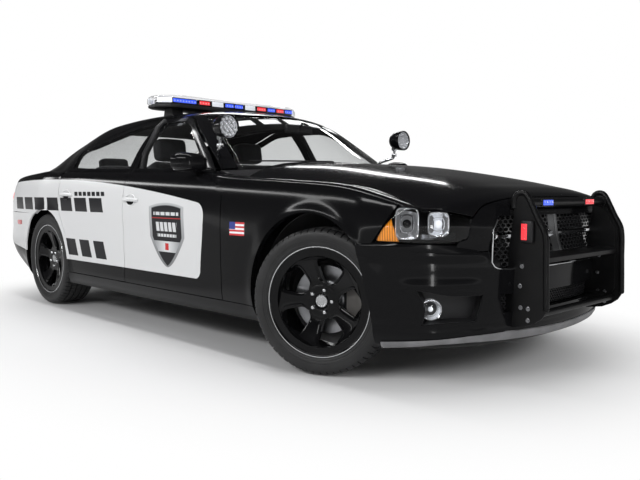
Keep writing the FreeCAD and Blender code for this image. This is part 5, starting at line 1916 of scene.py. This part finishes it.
# %% Cover and base of the light bar
BAR_X, BAR_LOW, BAR_HIGH, MODULE_Z = -1.9, 1.506, 1.57, 1.534
BAR_PLAN = [(.143, .0), (.143, .52), (.128, .58), (.07, .64), (.04, .652), (-.04, .652),
    (-.07, .64), (-.128, .58), (-.143, .52)]
BAR_PLAN = [(BAR_X + x, y) for x, y in BAR_PLAN] + [(BAR_X + x, -y) for x, y in BAR_PLAN[:0:-1]]


def shrunk(outline, by):
    """An outline drawn in towards its middle by a length."""
    middle = np.mean(outline, 0)
    return [tuple(middle + (np.array(p) - middle) * (1 - by / np.linalg.norm(np.array(p) - middle)))
        for p in outline]


def bar_cover():
    """The clear cover, its upper edge rolled in."""
    rows = []
    for z, by in ((BAR_LOW, .004), (BAR_LOW + .004, 0), (BAR_LOW + .04, .001), (BAR_HIGH - .01, .012),
                  (BAR_HIGH - .003, .026), (BAR_HIGH, .05)):
        ring = shrunk(BAR_PLAN, by)
        rows.append([(x, y, z) for x, y in ring + ring[:1]])
    bm = spread(rows)
    bmesh.ops.remove_doubles(bm, verts=bm.verts, dist=.0002)
    rim = [e for e in bm.edges if e.is_boundary and all(v.co.z > BAR_HIGH - .001 for v in e.verts)]
    bmesh.ops.holes_fill(bm, edges=rim)
    return outward(bm, lambda p: p[..., 2] - 1.5 + 9 * np.abs(p[..., 0] - BAR_X) ** 2
        + .2 * np.abs(p[..., 1]) ** 2)


done(bar_cover(), "bar_cover", lens, "body", "light_bar", slot="glass", thick=.0025)
bar_foot = joined(*[slab([(BAR_X - .06, 1.436), (BAR_X + .06, 1.436), (BAR_X + .045, 1.492),
    (BAR_X - .045, 1.492)], s * .47 - .045, s * .47 + .045, edge=.003) for s in (1, -1)])
done(joined(slab(shrunk(BAR_PLAN, .006), 1.484, 1.504, "z", .004),
    slab(shrunk(BAR_PLAN, .03), 1.504, 1.512, "z"), bar_foot), "bar_base", trim, "body", "light_bar_base")
print("outline of the bar in", len(BAR_PLAN), "points")

# %% Lamp modules
def module(width, high=.026):
    """The lit face of a lamp module that looks along +X."""
    return block((-.006, -width / 2 + .004, -high / 2), (0, width / 2 - .004, high / 2), .003, 2)


def housing(width):
    """The black tray round a module."""
    return block((-.034, -width / 2, -.0195), (-.0045, width / 2, .0195), .002, 1)


LAMPS_ALONG = [(-.452, .2, "blue"), (-.283, .096, "red"), (-.168, .108, "white"), (-.062, .082, "blue"),
    (.026, .082, "blue"), (.134, .104, "white"), (.246, .092, "red"), (.345, .082, "blue"),
    (.436, .082, "red"), (.525, .082, "blue")]
lit = {"blue": blue_lit, "red": red_lit, "white": white_lit}
for shade, finish in lit.items():
    spots = [(y, w) for y, w, s in LAMPS_ALONG if s == shade]
    high = .036 if shade == "white" else .026
    bm = joined(*[placed(module(w, high), (BAR_X + side * .122, y, MODULE_Z), (side, 0, 0))
        for y, w in spots for side in (1, -1)])
    done(bm, f"bar_modules_{shade}", finish, slot="lamp")
done(joined(*[placed(housing(w), (BAR_X + side * .122, y, MODULE_Z), (side, 0, 0))
    for y, w, s in LAMPS_ALONG for side in (1, -1)]), "bar_housings", gloss_trim)
ends = joined(*[placed(module(.11, .036), (BAR_X + .095 * side, s * .6, MODULE_Z),
    (.75 * side, s * .66, 0)) for s in (1, -1) for side in (1, -1)])
done(ends, "bar_modules_end", white_lit)
done(block((BAR_X - .092, -.57, 1.512), (BAR_X + .092, .57, 1.55), .004), "bar_core", trim)
lattice = [block((BAR_X - .09, y - .0012, 1.5505), (BAR_X + .09, y + .0012, 1.5525), 0)
    for y in np.linspace(-.56, .56, 29)]
lattice += [block((BAR_X + x - .0012, -.565, 1.5506), (BAR_X + x + .0012, .565, 1.5524), 0)
    for x in (-.06, -.03, 0, .03, .06)]
done(joined(*lattice), "bar_lattice", white_film, slot="trim")
print("modules made for", len(LAMPS_ALONG), "places")

# %% Spotlamps
SPOT = np.array((-.872, .792, 1.27))


def spot_shell():
    """The black bullet-shaped housing."""
    return turned([(-.062, 0), (-.062, .012), (-.056, .03), (-.04, .048), (-.02, .06), (.01, .067),
        (.04, .07), (.05, .0715), (.06, .0715), (.062, .07), (.062, .067), (.052, .0655), (.034, .064),
        (.034, 0)], 56)


def spot_face():
    """A ring of small bowls behind a clear cover."""
    cups = []
    for count, ring_r in ((1, 0), (6, .024), (12, .046)):
        for k in range(count):
            a = k * math.tau / count + .2
            cup = turned([(-.002, .0), (-.001, .0055), (.004, .0098), (.006, .0108), (.006, .0116),
                (-.004, .0118)], 14)
            cups.append(placed(cup, (.0455, ring_r * math.cos(a), ring_r * math.sin(a))))
    return joined(turned([(.05, .064), (.053, .0625), (.05, .0605), (.042, .06)], 48), *cups)


def spot_neck():
    """The stem and the pivot under a spotlamp."""
    stem = tube([(0, 0, z) for z in np.linspace(-.094, -.046, 4)], .009, 18)
    yoke = joined(turned([(-.012, 0), (-.012, .016), (-.01, .018), (.01, .018), (.012, .016), (.012, 0)],
        28), placed(turned([(0, .0125), (.004, .0125), (.005, .0105), (.005, 0)], 6), (.012, 0, 0)))
    return joined(placed(stem, (-.03, 0, 0)), placed(yoke, (-.03, 0, -.058), (0, 1, 0)))


def spot_post():
    """The bracket from the foot of the windshield pillar up to the lamp."""
    foot = np.array((-1.01, .715, 1.1))
    rise = np.array([foot, (-.975, .742, 1.12), (-.935, .77, 1.138), (-.908, .788, 1.15),
        (-.902, .792, 1.17)])
    x, z = path(rise[:, [0, 2]], 24).T
    arm = tube(points_of(x, np.interp(np.linspace(0, 4, 24), range(5), rise[:, 1]), z), .0105, 16)
    collar = placed(turned([(-.014, 0), (-.014, .018), (-.01, .02), (.006, .02), (.008, .017),
        (.008, 0)], 28), (-.902, .792, 1.17), (0, 0, 1))
    flange = placed(turned([(-.004, 0), (-.004, .022), (.004, .02), (.006, .012), (.006, 0)], 28), foot,
        (.6, .5, .4))
    return joined(arm, collar, flange)


# The spotlamps' small bowls take the reflector finish, whose glow is painted light.
for word, sign in SIDES:
    flip = (1, sign, 1)
    lamp = f"spotlamp_{word}"
    done(placed(spot_shell(), SPOT * flip), f"spot_shell_{word}", gloss_trim, lamp, lamp)
    done(placed(spot_face(), SPOT * flip), f"spot_face_{word}", reflector, lamp)
    done(placed(turned([(.0585, 0), (.0582, .03), (.057, .0655), (.0545, .0662), (.0545, 0)], 48),
        SPOT * flip), f"spot_lens_{word}", lens, lamp)
    done(placed(spot_neck(), SPOT * flip), f"spot_neck_{word}", chrome, lamp)
both_sides(spot_post, "spot_post", chrome)
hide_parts("spotlamp_posts")
print("light bar and spotlamps made")

# %% [markdown]
# ## Mirrors, handles and lamps of the sides
# A mirror housing is a rounded box whose faces are bulged by a subdivision surface; handles are straps
# over a dished cup.

# %% Mirrors
def mirror_shell():
    """A cube divided into a grid and pushed out to a rounded, tapering pod."""
    bm = bmesh.new()
    bmesh.ops.create_cube(bm, size=2)
    bmesh.ops.subdivide_edges(bm, edges=bm.edges, cuts=11, use_grid_fill=True)
    for v in bm.verts:
        x, y, z = v.co
        r = (abs(x) ** 2.6 + abs(y) ** 4 + abs(z) ** 3.4) ** (1 / 3.2)
        x, y, z = x / max(r, .7), y / max(r, .7), z / max(r, .7)
        high = (.062 if z > 0 else .052) * (1 + .1 * min(0, y) - .1 * max(0, y) ** 2)
        ahead = .115 if x > 0 else .018
        v.co = Vector((-1.03 + x * ahead * (1 - .22 * max(0, y) ** 2) - .014 * y, .945 + y * .095,
            1.062 + z * high + .004 * y))
    return bm


def mirror_glass():
    """A thin plate whose four long corners are rounded."""
    bm = block((-1.052, .9, 1.018), (-1.046, 1.026, 1.112), 0)
    bmesh.ops.bevel(bm, geom=[e for e in bm.edges if abs((e.verts[0].co - e.verts[1].co).x) > .003],
        offset=.028, segments=6, profile=.5, affect="EDGES", material=-1)
    return bm


def mirror_stalk():
    """The short arm from the door to the mirror."""
    rows = []
    for t in np.linspace(0, 1, 9):
        y, x = .838 + t * .085, -.955 - .04 * t
        ring_angle = np.linspace(0, 2 * np.pi, 17)
        wide, tall = .046 - .014 * math.sin(t * 2.2), .026 - .008 * math.sin(t * 2.4)
        rows.append(points_of(x + wide * np.cos(ring_angle), y,
            1.012 + .022 * t + tall * np.sin(ring_angle)))
    return sealed(spread(rows), .0001)


def door_sail():
    """The black corner behind the windshield pillar that carries the mirror."""
    a = on_skin("side", path([(-.915, 1.018), (-.945, 1.045), (-.975, 1.068), (-1.0, 1.088)], 16), skin,
        .003)
    b = on_skin("side", path([(-.915, 1.01), (-.945, 1.012), (-.975, 1.014), (-1.0, 1.016)], 16), skin,
        .003)
    return ribbon(a, b, 5)


both_sides(mirror_shell, "mirror_shell", gloss_trim, "front_door_{}", ["mirror_{}"], levels=1)
both_sides(mirror_glass, "mirror_glass", chrome, "front_door_{}", slot="glass")
both_sides(mirror_stalk, "mirror_stalk", gloss_trim, "front_door_{}")
both_sides(door_sail, "mirror_sail", gloss_trim, "front_door_{}", thick=.006, edge=.001)
print("mirrors made")

# %% Door handles
def handle(x, z, length=.168):
    """A strap handle standing off the door."""
    runs = np.linspace(-1, 1, 25)
    at = on_skin("side", points_of(x + runs * length / 2, z + .004 * (1 - runs ** 2)))
    out = at + points_of(0, .026 * (1 - np.abs(runs) ** 5) - .002, 0)
    return tube(out, .0105 + .002 * (1 - runs ** 2), 16)


def handle_cup(x, z):
    """The shallow bowl behind a handle."""
    turn = np.linspace(0, 2 * np.pi, 33)
    rows = []
    for size, out in ((1.0, .0008), (.97, .003), (.92, .0042), (.86, .003), (.8, .0006)):
        flat = points_of(x - .008 + .066 * size * np.cos(turn), z + .04 * size * np.sin(turn))
        rows.append(on_skin("side", flat, skin, 0) + (0, out, 0))
    bm = spread(rows)
    bmesh.ops.remove_doubles(bm, verts=bm.verts, dist=.0002)
    return outward(bm)


def handle_hollow(x, z):
    """A flat dark patch on the door below a handle: painted shadow of the recess where the fingers go in."""
    turn = np.linspace(np.pi, 2 * np.pi, 17)
    rows = [on_skin("side", points_of(x - .01 + .046 * size * np.cos(turn),
        z - .004 + .03 * size * np.sin(turn)), skin, .0012) for size in (1, .75, .5, .25, .02)]
    return outward(spread(rows))


HANDLES = (("front", -1.69, .842), ("rear", -2.655, .872))
# Below each handle a flat dark patch is painted shadow of the recess behind the strap.
for door, x, z in HANDLES:
    both_sides(lambda: handle(x, z), f"{door}_handle", wrapped, door + "_door_{}")
    both_sides(lambda: handle_hollow(x, z), f"{door}_handle_hollow", gloss_trim, door + "_door_{}",
        thick=.002)
    both_sides(lambda: handle_cup(x, z), f"{door}_handle_cup", wrapped, door + "_door_{}", thick=.002)
print("handles made at", [round(x, 2) for _, x, _ in HANDLES])

# %% Side markers
def side_marker():
    """The red lamp on the rear quarter."""
    flat = np.stack(np.meshgrid(np.linspace(-3.655, -3.56, 10), np.linspace(.622, .657, 5), indexing="ij"),
        -1)
    points = on_skin("side", flat.reshape(-1, 2), skin, .007).reshape(10, 5, 3)
    return outward(spread(points))


both_sides(side_marker, "side_marker", red_lens, thick=.006, edge=.002)
print("side markers made")

# %% [markdown]
# With a door open its inner side shows: an armrest, a grab handle, a latch lever, a pocket and a loudspeaker.
# They are plain rounded boxes and tubes placed on the slab's inner face, one set for each door.

# %% Door cards
def inner_side(x, z, inward=0.0):
    """A place on the door card, (x, z) from the side, or a little further in."""
    return on_skin("side", np.array([(x, z)]), skin, -DOOR_SLAB - inward)[0]


def door_card(ahead, behind):
    """What the inner side of a door carries: armrest, grab handle, latch lever, pocket and loudspeaker."""
    middle, length = (ahead + behind) / 2, ahead - behind
    arm = inner_side(middle, .7)
    grab = [inner_side(ahead - .2 - .16 * t, .8 + .02 * math.sin(math.pi * t),
        .034 * math.sin(math.pi * t)) for t in np.linspace(0, 1, 15)]
    lever = inner_side(ahead - .12, .86)
    pocket, voice = inner_side(middle + .04, .42), inner_side(ahead - .16, .46)
    return joined(block(arm - (.38 * length, .052, .026), arm + (.26 * length, .02, .022), .014, 3),
        tube(grab, .011, 14), block(lever - (.045, .01, .016), lever + (.045, .01, .016), .006),
        block(pocket - (.3 * length, .024, .05), pocket + (.22 * length, .024, .04), .012, 3),
        placed(turned([(-.02, .085), (.006, .085), (.01, .078), (.006, .072), (.004, .02), (.012, .012),
        (.012, 0)], 40), voice, (0, -1, 0)))


both_sides(lambda: door_card(-.8, -1.78), "front_door_card", trim, "front_door_{}")
both_sides(lambda: door_card(-1.88, -2.56), "rear_door_card", trim, "rear_door_{}")
print("mirrors, handles, markers and door cards made")

# %% [markdown]
# ## Inside
# Each cushion is a cube divided into a grid and bent to a padded outline, with pleats pressed into the
# middle and raised bolsters at the sides. They are smoothed with a subdivision surface.

# %% Cushions
def pad(length, width, thick, pleats=5, bolster=.035, crown=.012, cuts=13):
    """A cushion lying flat, its top upwards: length along X, width along Y."""
    bm = bmesh.new()
    bmesh.ops.create_cube(bm, size=2)
    bmesh.ops.subdivide_edges(bm, edges=bm.edges, cuts=cuts, use_grid_fill=True)
    for v in bm.verts:
        x, y, z = v.co
        r = (abs(x) ** 6 + abs(y) ** 6 + abs(z) ** 4) ** (1 / 6)
        x, y, z = x / max(r, 1), y / max(r, 1), z / max(r, 1)
        lift = 0
        if z > .3:
            side = max(0, (abs(y) - .58) / .42)
            lift = bolster * math.sin(min(1, side * 1.5) * math.pi / 2) * (1 - max(0,
                side - .7)) + crown * (1 - y * y)
            if abs(y) < .56 and pleats:
                lift -= .01 * abs(math.cos(x * pleats * math.pi / 2)) ** 8 * (1 - (y / .56) ** 6)
        v.co = Vector((x * length / 2, y * width / 2, z * thick / 2 + lift))
    return bm


print("points in a cushion", len(pad(.5, .5, .1).verts))

# %% Seats
def cushion(bm, at, way, name, stands=()):
    """Puts a pad's front edge one way, along a direction in the side view."""
    ahead = Vector((way[0], 0, way[1])).normalized()
    side = Vector((0, 1, 0))
    up = ahead.cross(side)
    turn = Matrix((ahead, side, up)).transposed().to_4x4()
    bmesh.ops.transform(bm, matrix=Matrix.Translation(Vector(at)) @ turn, verts=bm.verts)
    done(bm, name, seat_cloth, "body", stands, levels=1)


for word, sign in SIDES:
    y = .37 * sign
    cushion(pad(.52, .5, .135, 5), (-1.63, y, .463), (1, .1), f"seat_base_{word}",
        ["front_seats"] if sign > 0 else ())
    cushion(pad(.62, .49, .12, 6), (-1.975, y, .815), (.33, -.94), f"seat_back_{word}")
    cushion(pad(.165, .25, .095, 0, .006, .008, 8), (-2.118, y, 1.205), (.15, -.99), f"headrest_{word}")
    rods = joined(*[tube([(-2.112 - .08 * (z - 1.12), y + s * .058, z) for z in (1.075, 1.11, 1.15)], .0065,
        12) for s in (1, -1)])
    done(rods, f"headrest_rods_{word}", steel)
    done(joined(block((-1.86, y - .185, .24), (-1.44, y + .185, .3), .012),
        block((-1.88, y - .215, .3), (-1.42, y + .215, .395), .02),
        block((-1.93, y - .262, .395), (-1.6, y - .236, .5), .01),
        block((-1.93, y + .236, .395), (-1.6, y + .262, .5), .01)), f"seat_frame_{word}", trim)
cushion(pad(.5, 1.22, .13, 5, .02), (-2.53, 0, .575), (1, .1), "bench_base", ["rear_seat"])
cushion(pad(.56, 1.22, .115, 6, .02), (-2.895, 0, .85), (.42, -.91), "bench_back")
for word, sign in SIDES:
    cushion(pad(.12, .25, .08, 0, .004, .006, 8), (-3.045, .34 * sign, 1.115), (.2, -.98),
        f"rear_headrest_{word}")
done(block((-2.6, -.6, .24), (-2.31, .6, .505), .02), "bench_box", carpet)

# %% Dashboard and console
def facia():
    """The facia's section, swept across and drawn in over the driver's instruments."""
    section = path([(-.69, .925), (-.86, .94), (-1.02, .945), (-1.14, .938), (-1.195, .915),
        (-1.205, .885), (-1.19, .85), (-1.195, .8), (-1.22, .77), (-1.215, .735), (-1.15, .7),
        (-1.02, .67)], 40)
    rows = []
    for y in np.linspace(-.755, .755, 61):
        hood_ = math.exp(-((y - .37) / .17) ** 4)
        centre = math.exp(-(y / .13) ** 6)
        x = section[:, 0] - .014 * hood_ * (section[:, 1] > .86) - .02 * centre * (section[:, 1] < .88)
        z = section[:, 1] + .002 - .035 * step(abs(y), .55, .755) * step(section[:, 0], -1.25, -.75)
        rows.append(points_of(x, y, z))
    bm = spread(rows)
    bmesh.ops.recalc_face_normals(bm, faces=bm.faces)
    return outward(bm, lambda p: np.hypot(p[..., 0] + .95, p[..., 2] - .8))


done(facia(), "facia", dash_vinyl, "body", "dashboard", thick=.012, edge=.002)
done(joined(block((-1.226, -.105, .8), (-1.212, .105, .905), .004),
    *[placed(turned([(0, .018), (.012, .017), (.014, .014), (.014, 0)], 28), (-1.236, y, .77), (-1, 0, 0))
    for y in (-.07, 0, .07)]), "centre_screen", gloss_trim)
done(joined(*[placed(turned([(0, .05), (.006, .05), (.008, .047), (.002, .044), (.002, 0)], 40),
    (-1.212, y, .88), (-1, 0, .25)) for y in (.315, .425)]), "dials", gloss_trim)
done(joined(*[block((-1.214, y - .045, .86), (-1.204, y + .045, .905), .006)
    for y in (-.66, -.19, .19, .66)]), "vents", trim)
console = slab([(-1.215, .24), (-1.22, .7), (-1.3, .62), (-1.42, .545), (-1.98, .545), (-2.02, .5),
    (-2.02, .24)], -.115, .115, edge=.012)
selector = joined(tube([(-1.385, .02, .56), (-1.39, .02, .62), (-1.4, .02, .66)], .009, 12),
    placed(squarish(turned([(-.02, 0), (-.018, .022), (.01, .027), (.03, .02), (.034, 0)], 24)),
    (-1.402, .02, .672), (0, 0, 1)))
done(joined(console, selector), "console", dash_vinyl)
print("dashboard made")

# %% Steering wheel
WHEEL_AT, WHEEL_TILT = np.array((-1.24, .37, .94)), math.radians(25)
n_ = Vector((-math.cos(WHEEL_TILT), 0, math.sin(WHEEL_TILT)))
ring_turn = np.linspace(0, 2 * np.pi, 73)[:-1]
flat_ring = points_of(0, .184 * np.sin(ring_turn), .184 * np.cos(ring_turn))
rim_of_wheel = tube(flat_ring, .0145, 16, closed=True)
done(placed(rim_of_wheel, WHEEL_AT, n_), "wheel_rim_grip", trim, "steering_wheel", "steering_wheel")
arms = []
for turn_ in (math.radians(8), math.radians(172), math.radians(270)):
    for k in (-1, 1):
        way = np.array((0, math.cos(turn_), math.sin(turn_)))
        across = np.array((0, -math.sin(turn_), math.cos(turn_)))
        arms.append(tube([way * r + across * k * (.016 + .012 * (r < .08))
            + np.array((-.012 * (r < .1) - .002, 0, 0)) for r in (.05, .09, .13, .178)], .0095, 10))
hub_pad = squarish(turned([(-.05, 0), (-.045, .06), (-.01, .072), (.006, .066), (.012, .045), (.013, 0)],
    40), 3.0, 1.05, .92)
done(placed(joined(hub_pad, *arms), WHEEL_AT, n_), "wheel_hub_pad", dash_vinyl, "steering_wheel")
done(tube([tuple(WHEEL_AT - np.array(n_) * d) for d in (.05, .12, .2)], .026, 20), "column", trim)

done(joined(block((-1.1, -.12, 1.288), (-1.072, .12, 1.348), .012, 3),
    tube([(-1.075, 0, 1.335), (-1.055, 0, 1.35), (-1.045, 0, 1.362)], .007, 10)), "inside_mirror", trim)
done(block((-1.1015, -.112, 1.294), (-1.0995, .112, 1.342), .0006, 1), "inside_mirror_glass", chrome,
    slot="glass")
print("steering wheel tilted by", round(math.degrees(WHEEL_TILT)), "degrees")

# %% Lining, pillars and shelf
def headliner():
    """The padded lining under the roof."""
    y = np.linspace(-.52, .52, 31)
    rows = []
    for x in np.linspace(-1.3, -2.85, 31):
        line = on_skin("top", points_of(x, y))
        rows.append(line - (0, 0, .03))
    return outward(spread(rows), lambda p: -p[..., 2])


done(headliner(), "headliner", dash_vinyl, slot="fabric", thick=.006)


def pillar_trim():
    """The inner face of the centre pillar, under the roof."""
    return tube([(-1.742, .845, .26), (-1.742, .85, .6), (-1.742, .842, .95), (-1.755, .785, 1.15),
        (-1.775, .675, 1.33), (-1.785, .61, 1.385)], [.034, .034, .028, .022, .02, .018], 12)


both_sides(pillar_trim, "pillar_trim", trim)
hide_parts("centre_posts")


done(slab([(-3.08, 1.045), (-3.55, 1.075), (-3.55, 1.06), (-3.08, 1.03)], -.58, .58), "parcel_shelf",
    carpet, edge=.002)
print("interior made")

# %% [markdown]
# ## Under the hood, under the floor, and the parts carried over
# Parts that only show with the hood up or from below keep their plain solids, each under a material
# with the grain of the real one, and the largest of them get the details that break their outline.

# %% Engine bay and calipers
def power_unit():
    """The engine with its two banks, its sump and the pulleys in front."""
    lumps = [block((-.4, -.2, .4), (.28, .2, .72), .02),
        block((-.36, -.29, .5), (.24, -.13, .74), .03), block((-.36, .13, .5), (.24, .29, .74), .03),
        block((-.34, -.24, .29), (.2, .24, .42), .02)]
    for k, y in enumerate((-.1, .1, .22)):
        lumps.append(placed(turned([(0, 0), (0, .06 - .01 * k), (.02, .062 - .01 * k), (.03, .05),
            (.03, 0)], 36), (.285, y, .46 + .1 * k), (1, 0, 0)))
    return joined(*lumps)


done(power_unit(), "power_unit", cast, "body", "engine_block")
cover_ribs = [block((-.33, y - .012, .772), (.17, y + .012, .782), .004) for y in (-.12, -.06, 0, .06, .12)]
done(joined(block((-.36, -.19, .725), (.2, .19, .773), .018, 3), *cover_ribs), "engine_cover", trim)
done(joined(block((.24, .3, .56), (.42, .5, .74), .02), block((-.3, -.5, .55), (-.06, -.3, .76), .02),
    tube([(-.08, -.4, .7), (.02, -.36, .76), (.06, -.28, .78), (.04, -.18, .75)], .04, 18)), "air_box",
    trim)
done(joined(block((-.38, .31, .5), (-.12, .5, .74), .012),
    *[placed(turned([(0, .012), (.02, .011), (.021, 0)], 16), (x, .41, .74), (0, 0, 1))
    for x in (-.34, -.16)]), "battery", gloss_trim)
done(joined(block((.46, -.44, .775), (.56, .44, .8), .008),
    *[block((.4, y - .04, .74), (.58, y + .04, .775), .008) for y in (-.4, 0, .4)]), "radiator_support",
    under)
done(joined(*[placed(turned([(-.01, .085), (.03, .07), (.034, .03), (.04, .028), (.04, 0)], 36),
    (0, s * .6, .82), (0, 0, 1)) for s in (1, -1)]), "strut_tops", under)


def caliper(rear):
    """A brake caliper over the disc: it stays still while the wheel turns."""
    x, y = (-BASE + .118, .775) if rear else (-.112, .778)
    return joined(block((x - .03, y - .05, RADIUS - .075), (x + .035, y + .02, RADIUS + .075), .012, 3),
        placed(turned([(0, .024), (.02, .023), (.022, 0)], 24), (x, y - .05, RADIUS), (0, -1, 0)))


both_sides(lambda: caliper(True), "rear_caliper", cast)
print("engine bay made")

# %% Plain solids and their finishes
CARRIED = {"floor_pan": under, "wheel_houses": under, "exhaust": steel, "front_suspension": cast,
    "rear_suspension": cast, "knuckle_left": cast, "knuckle_right": cast, "engine_block": cast,
    "rear_shelf": paint, "centre_posts": trim, "dashboard": dash_vinyl, "front_seats": seat_cloth,
    "rear_seat": seat_cloth, "side_frames": paint, }
for name, finish in CARRIED.items():
    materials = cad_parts[name].data.materials
    materials.clear()
    materials.append(finish.material)
print("solids with a finish of their own", len(CARRIED))

# %% [markdown]
# ## Stage, light and camera
# A pale floor that keeps the shadow, a bright world seen by the camera and by reflections, and long soft
# boxes above and in front, whose mirror images draw the highlight lines along the dark paint.

# %% Floor
class Stage(Finish):
    """The node tree of something that isn't a piece, with the same way of making nodes."""

    def __init__(self, tree):
        self.tree, self.coordinates = tree, None


def seen(finish):
    """1 for rays from the camera, off a gloss and through glass, and the glossy and camera rays alone."""
    rays = finish.node("ShaderNodeLightPath").outputs
    camera, glossy, passing = (Num(finish, rays[f"Is {kind} Ray"])
        for kind in ("Camera", "Glossy", "Transmission"))
    return camera.top(glossy).top(passing), glossy, camera


floor = Finish("studio_floor", (.58, .58, .585), .9)
x, y, _ = floor.where()
away = (((x + 1.5) / 1.45) ** 2 + y * y) ** .5
watched, glossy, _ = seen(floor)
plain = floor.node("ShaderNodeEmission", {"Color": (1, 1, 1), "Strength": 1 - glossy * .5})
whole_floor = floor.node("ShaderNodeMixShader", {0: away.ramp(1.25, 2.4) * watched,
    1: floor.shader.outputs[0], 2: plain.outputs[0]})
floor.join(whole_floor.outputs[0], floor.tree.nodes["Material Output"].inputs["Surface"])
bm = bmesh.new()
bmesh.ops.create_circle(bm, cap_ends=True, segments=96, radius=14)
bmesh.ops.translate(bm, verts=bm.verts, vec=(0, 0, -.0005))
mesh = bpy.data.meshes.new("floor")
bm.to_mesh(mesh)
bm.free()
stand = bpy.data.objects.new("floor", mesh)
bpy.context.scene.collection.objects.link(stand)
mesh.materials.append(floor.material)
print("floor made, nodes", len(floor.tree.nodes))

# %% World
world = bpy.data.worlds.new("studio")
bpy.context.scene.world = world
world.use_nodes = True
studio = Stage(world.node_tree)
ground = studio.tree.nodes["Background"]
studio.join((.62, .63, .64), ground.inputs["Color"])
studio.join(.35, ground.inputs["Strength"])
height = studio.node("ShaderNodeSeparateXYZ",
    {0: studio.node("ShaderNodeTexCoord").outputs["Generated"]}).outputs[2]


def by_height(*stops):
    """A grey that changes with the height of the direction a ray goes."""
    return studio.node("ShaderNodeValToRGB", {0: height},
        stops=[(at, (grey,) * 3) for at, grey in stops]).outputs[0]


watched, _, camera_ray = seen(studio)
sky = studio.mix(camera_ray, by_height((.0, 1), (.015, .4), (.06, .16), (.2, .06), (.34, .03)),
    by_height((.27, 1), (.34, .035)))
backdrop = studio.node("ShaderNodeBackground", {"Color": sky})
pick = studio.node("ShaderNodeMixShader", {0: watched, 1: ground.outputs[0], 2: backdrop.outputs[0]})
studio.join(pick.outputs[0], studio.tree.nodes["World Output"].inputs["Surface"])
print("world made, nodes", len(studio.tree.nodes))


# %% Lamps
def soft_box(name, place, aim, size, power, hidden=None):
    """An area lamp; hidden names the rays that don't see it."""
    lamp = bpy.data.lights.new(name, "AREA")
    lamp.shape, lamp.size, lamp.size_y, lamp.energy = "RECTANGLE", size[0], size[1], power
    obj = bpy.data.objects.new(name, lamp)
    obj.location = place
    obj.rotation_euler = (Vector(aim) - Vector(place)).to_track_quat("-Z", "Y").to_euler()
    bpy.context.scene.collection.objects.link(obj)
    if hidden:
        setattr(obj, hidden, False)


soft_box("overhead", (-.2, -.9, 4.6), (-.2, 0, 0), (7.0, .16), 100)
soft_box("key_right", (1.0, -6.0, 3.6), (.0, 0, .6), (6.0, .75), 190)
soft_box("back_left", (-4.6, 5.2, 4.3), (.2, -.5, .9), (5.0, .4), 60)
soft_box("back_right", (-5.6, -5.4, 3.2), (-.5, -.9, .95), (6.0, .3), 60)
soft_box("strip_corner", (6.0, -3.1, .75), (1.9, -.7, .5), (.22, 1.3), 14, "visible_camera")
soft_box("strip_side", (-.9, -6.6, .7), (0, -.9, .5), (5.5, .1), 10, "visible_camera")
soft_box("wide_overhead", (-.4, .2, 5.0), (-.4, 0, 0), (6, 3), 150, "visible_glossy")
soft_box("wide_right", (1.2, -6.0, 3.4), (0, 0, .6), (5, 2), 60, "visible_glossy")
soft_box("front", (6.5, -1.2, 2.6), (1.6, 0, .6), (2.6, 1.6), 110, "visible_glossy")
soft_box("rear", (-6.5, 0, 3.0), (-1.8, 0, .7), (3.2, .5), 60, "visible_glossy")
soft_box("fill_left", (-1.5, 6.0, 3.6), (0, 0, .6), (5.5, 1.6), 150, "visible_glossy")

# %% Camera
CAMERA_DOWN, CAMERA_TURN = 3.9533, 45.7575
lens_data = bpy.data.cameras.new("camera")
lens_data.lens, lens_data.sensor_width = 39.0, 36
camera = bpy.data.objects.new("camera", lens_data)
camera.location = (2.42792 + FRONT_X, -3.22044, .89367)
camera.rotation_euler = (math.radians(90 - CAMERA_DOWN), 0, math.radians(CAMERA_TURN))
bpy.context.scene.collection.objects.link(camera)
bpy.context.scene.camera = camera
bpy.context.scene.view_settings.view_transform = "Standard"
print("camera", camera.data.lens, "mm")
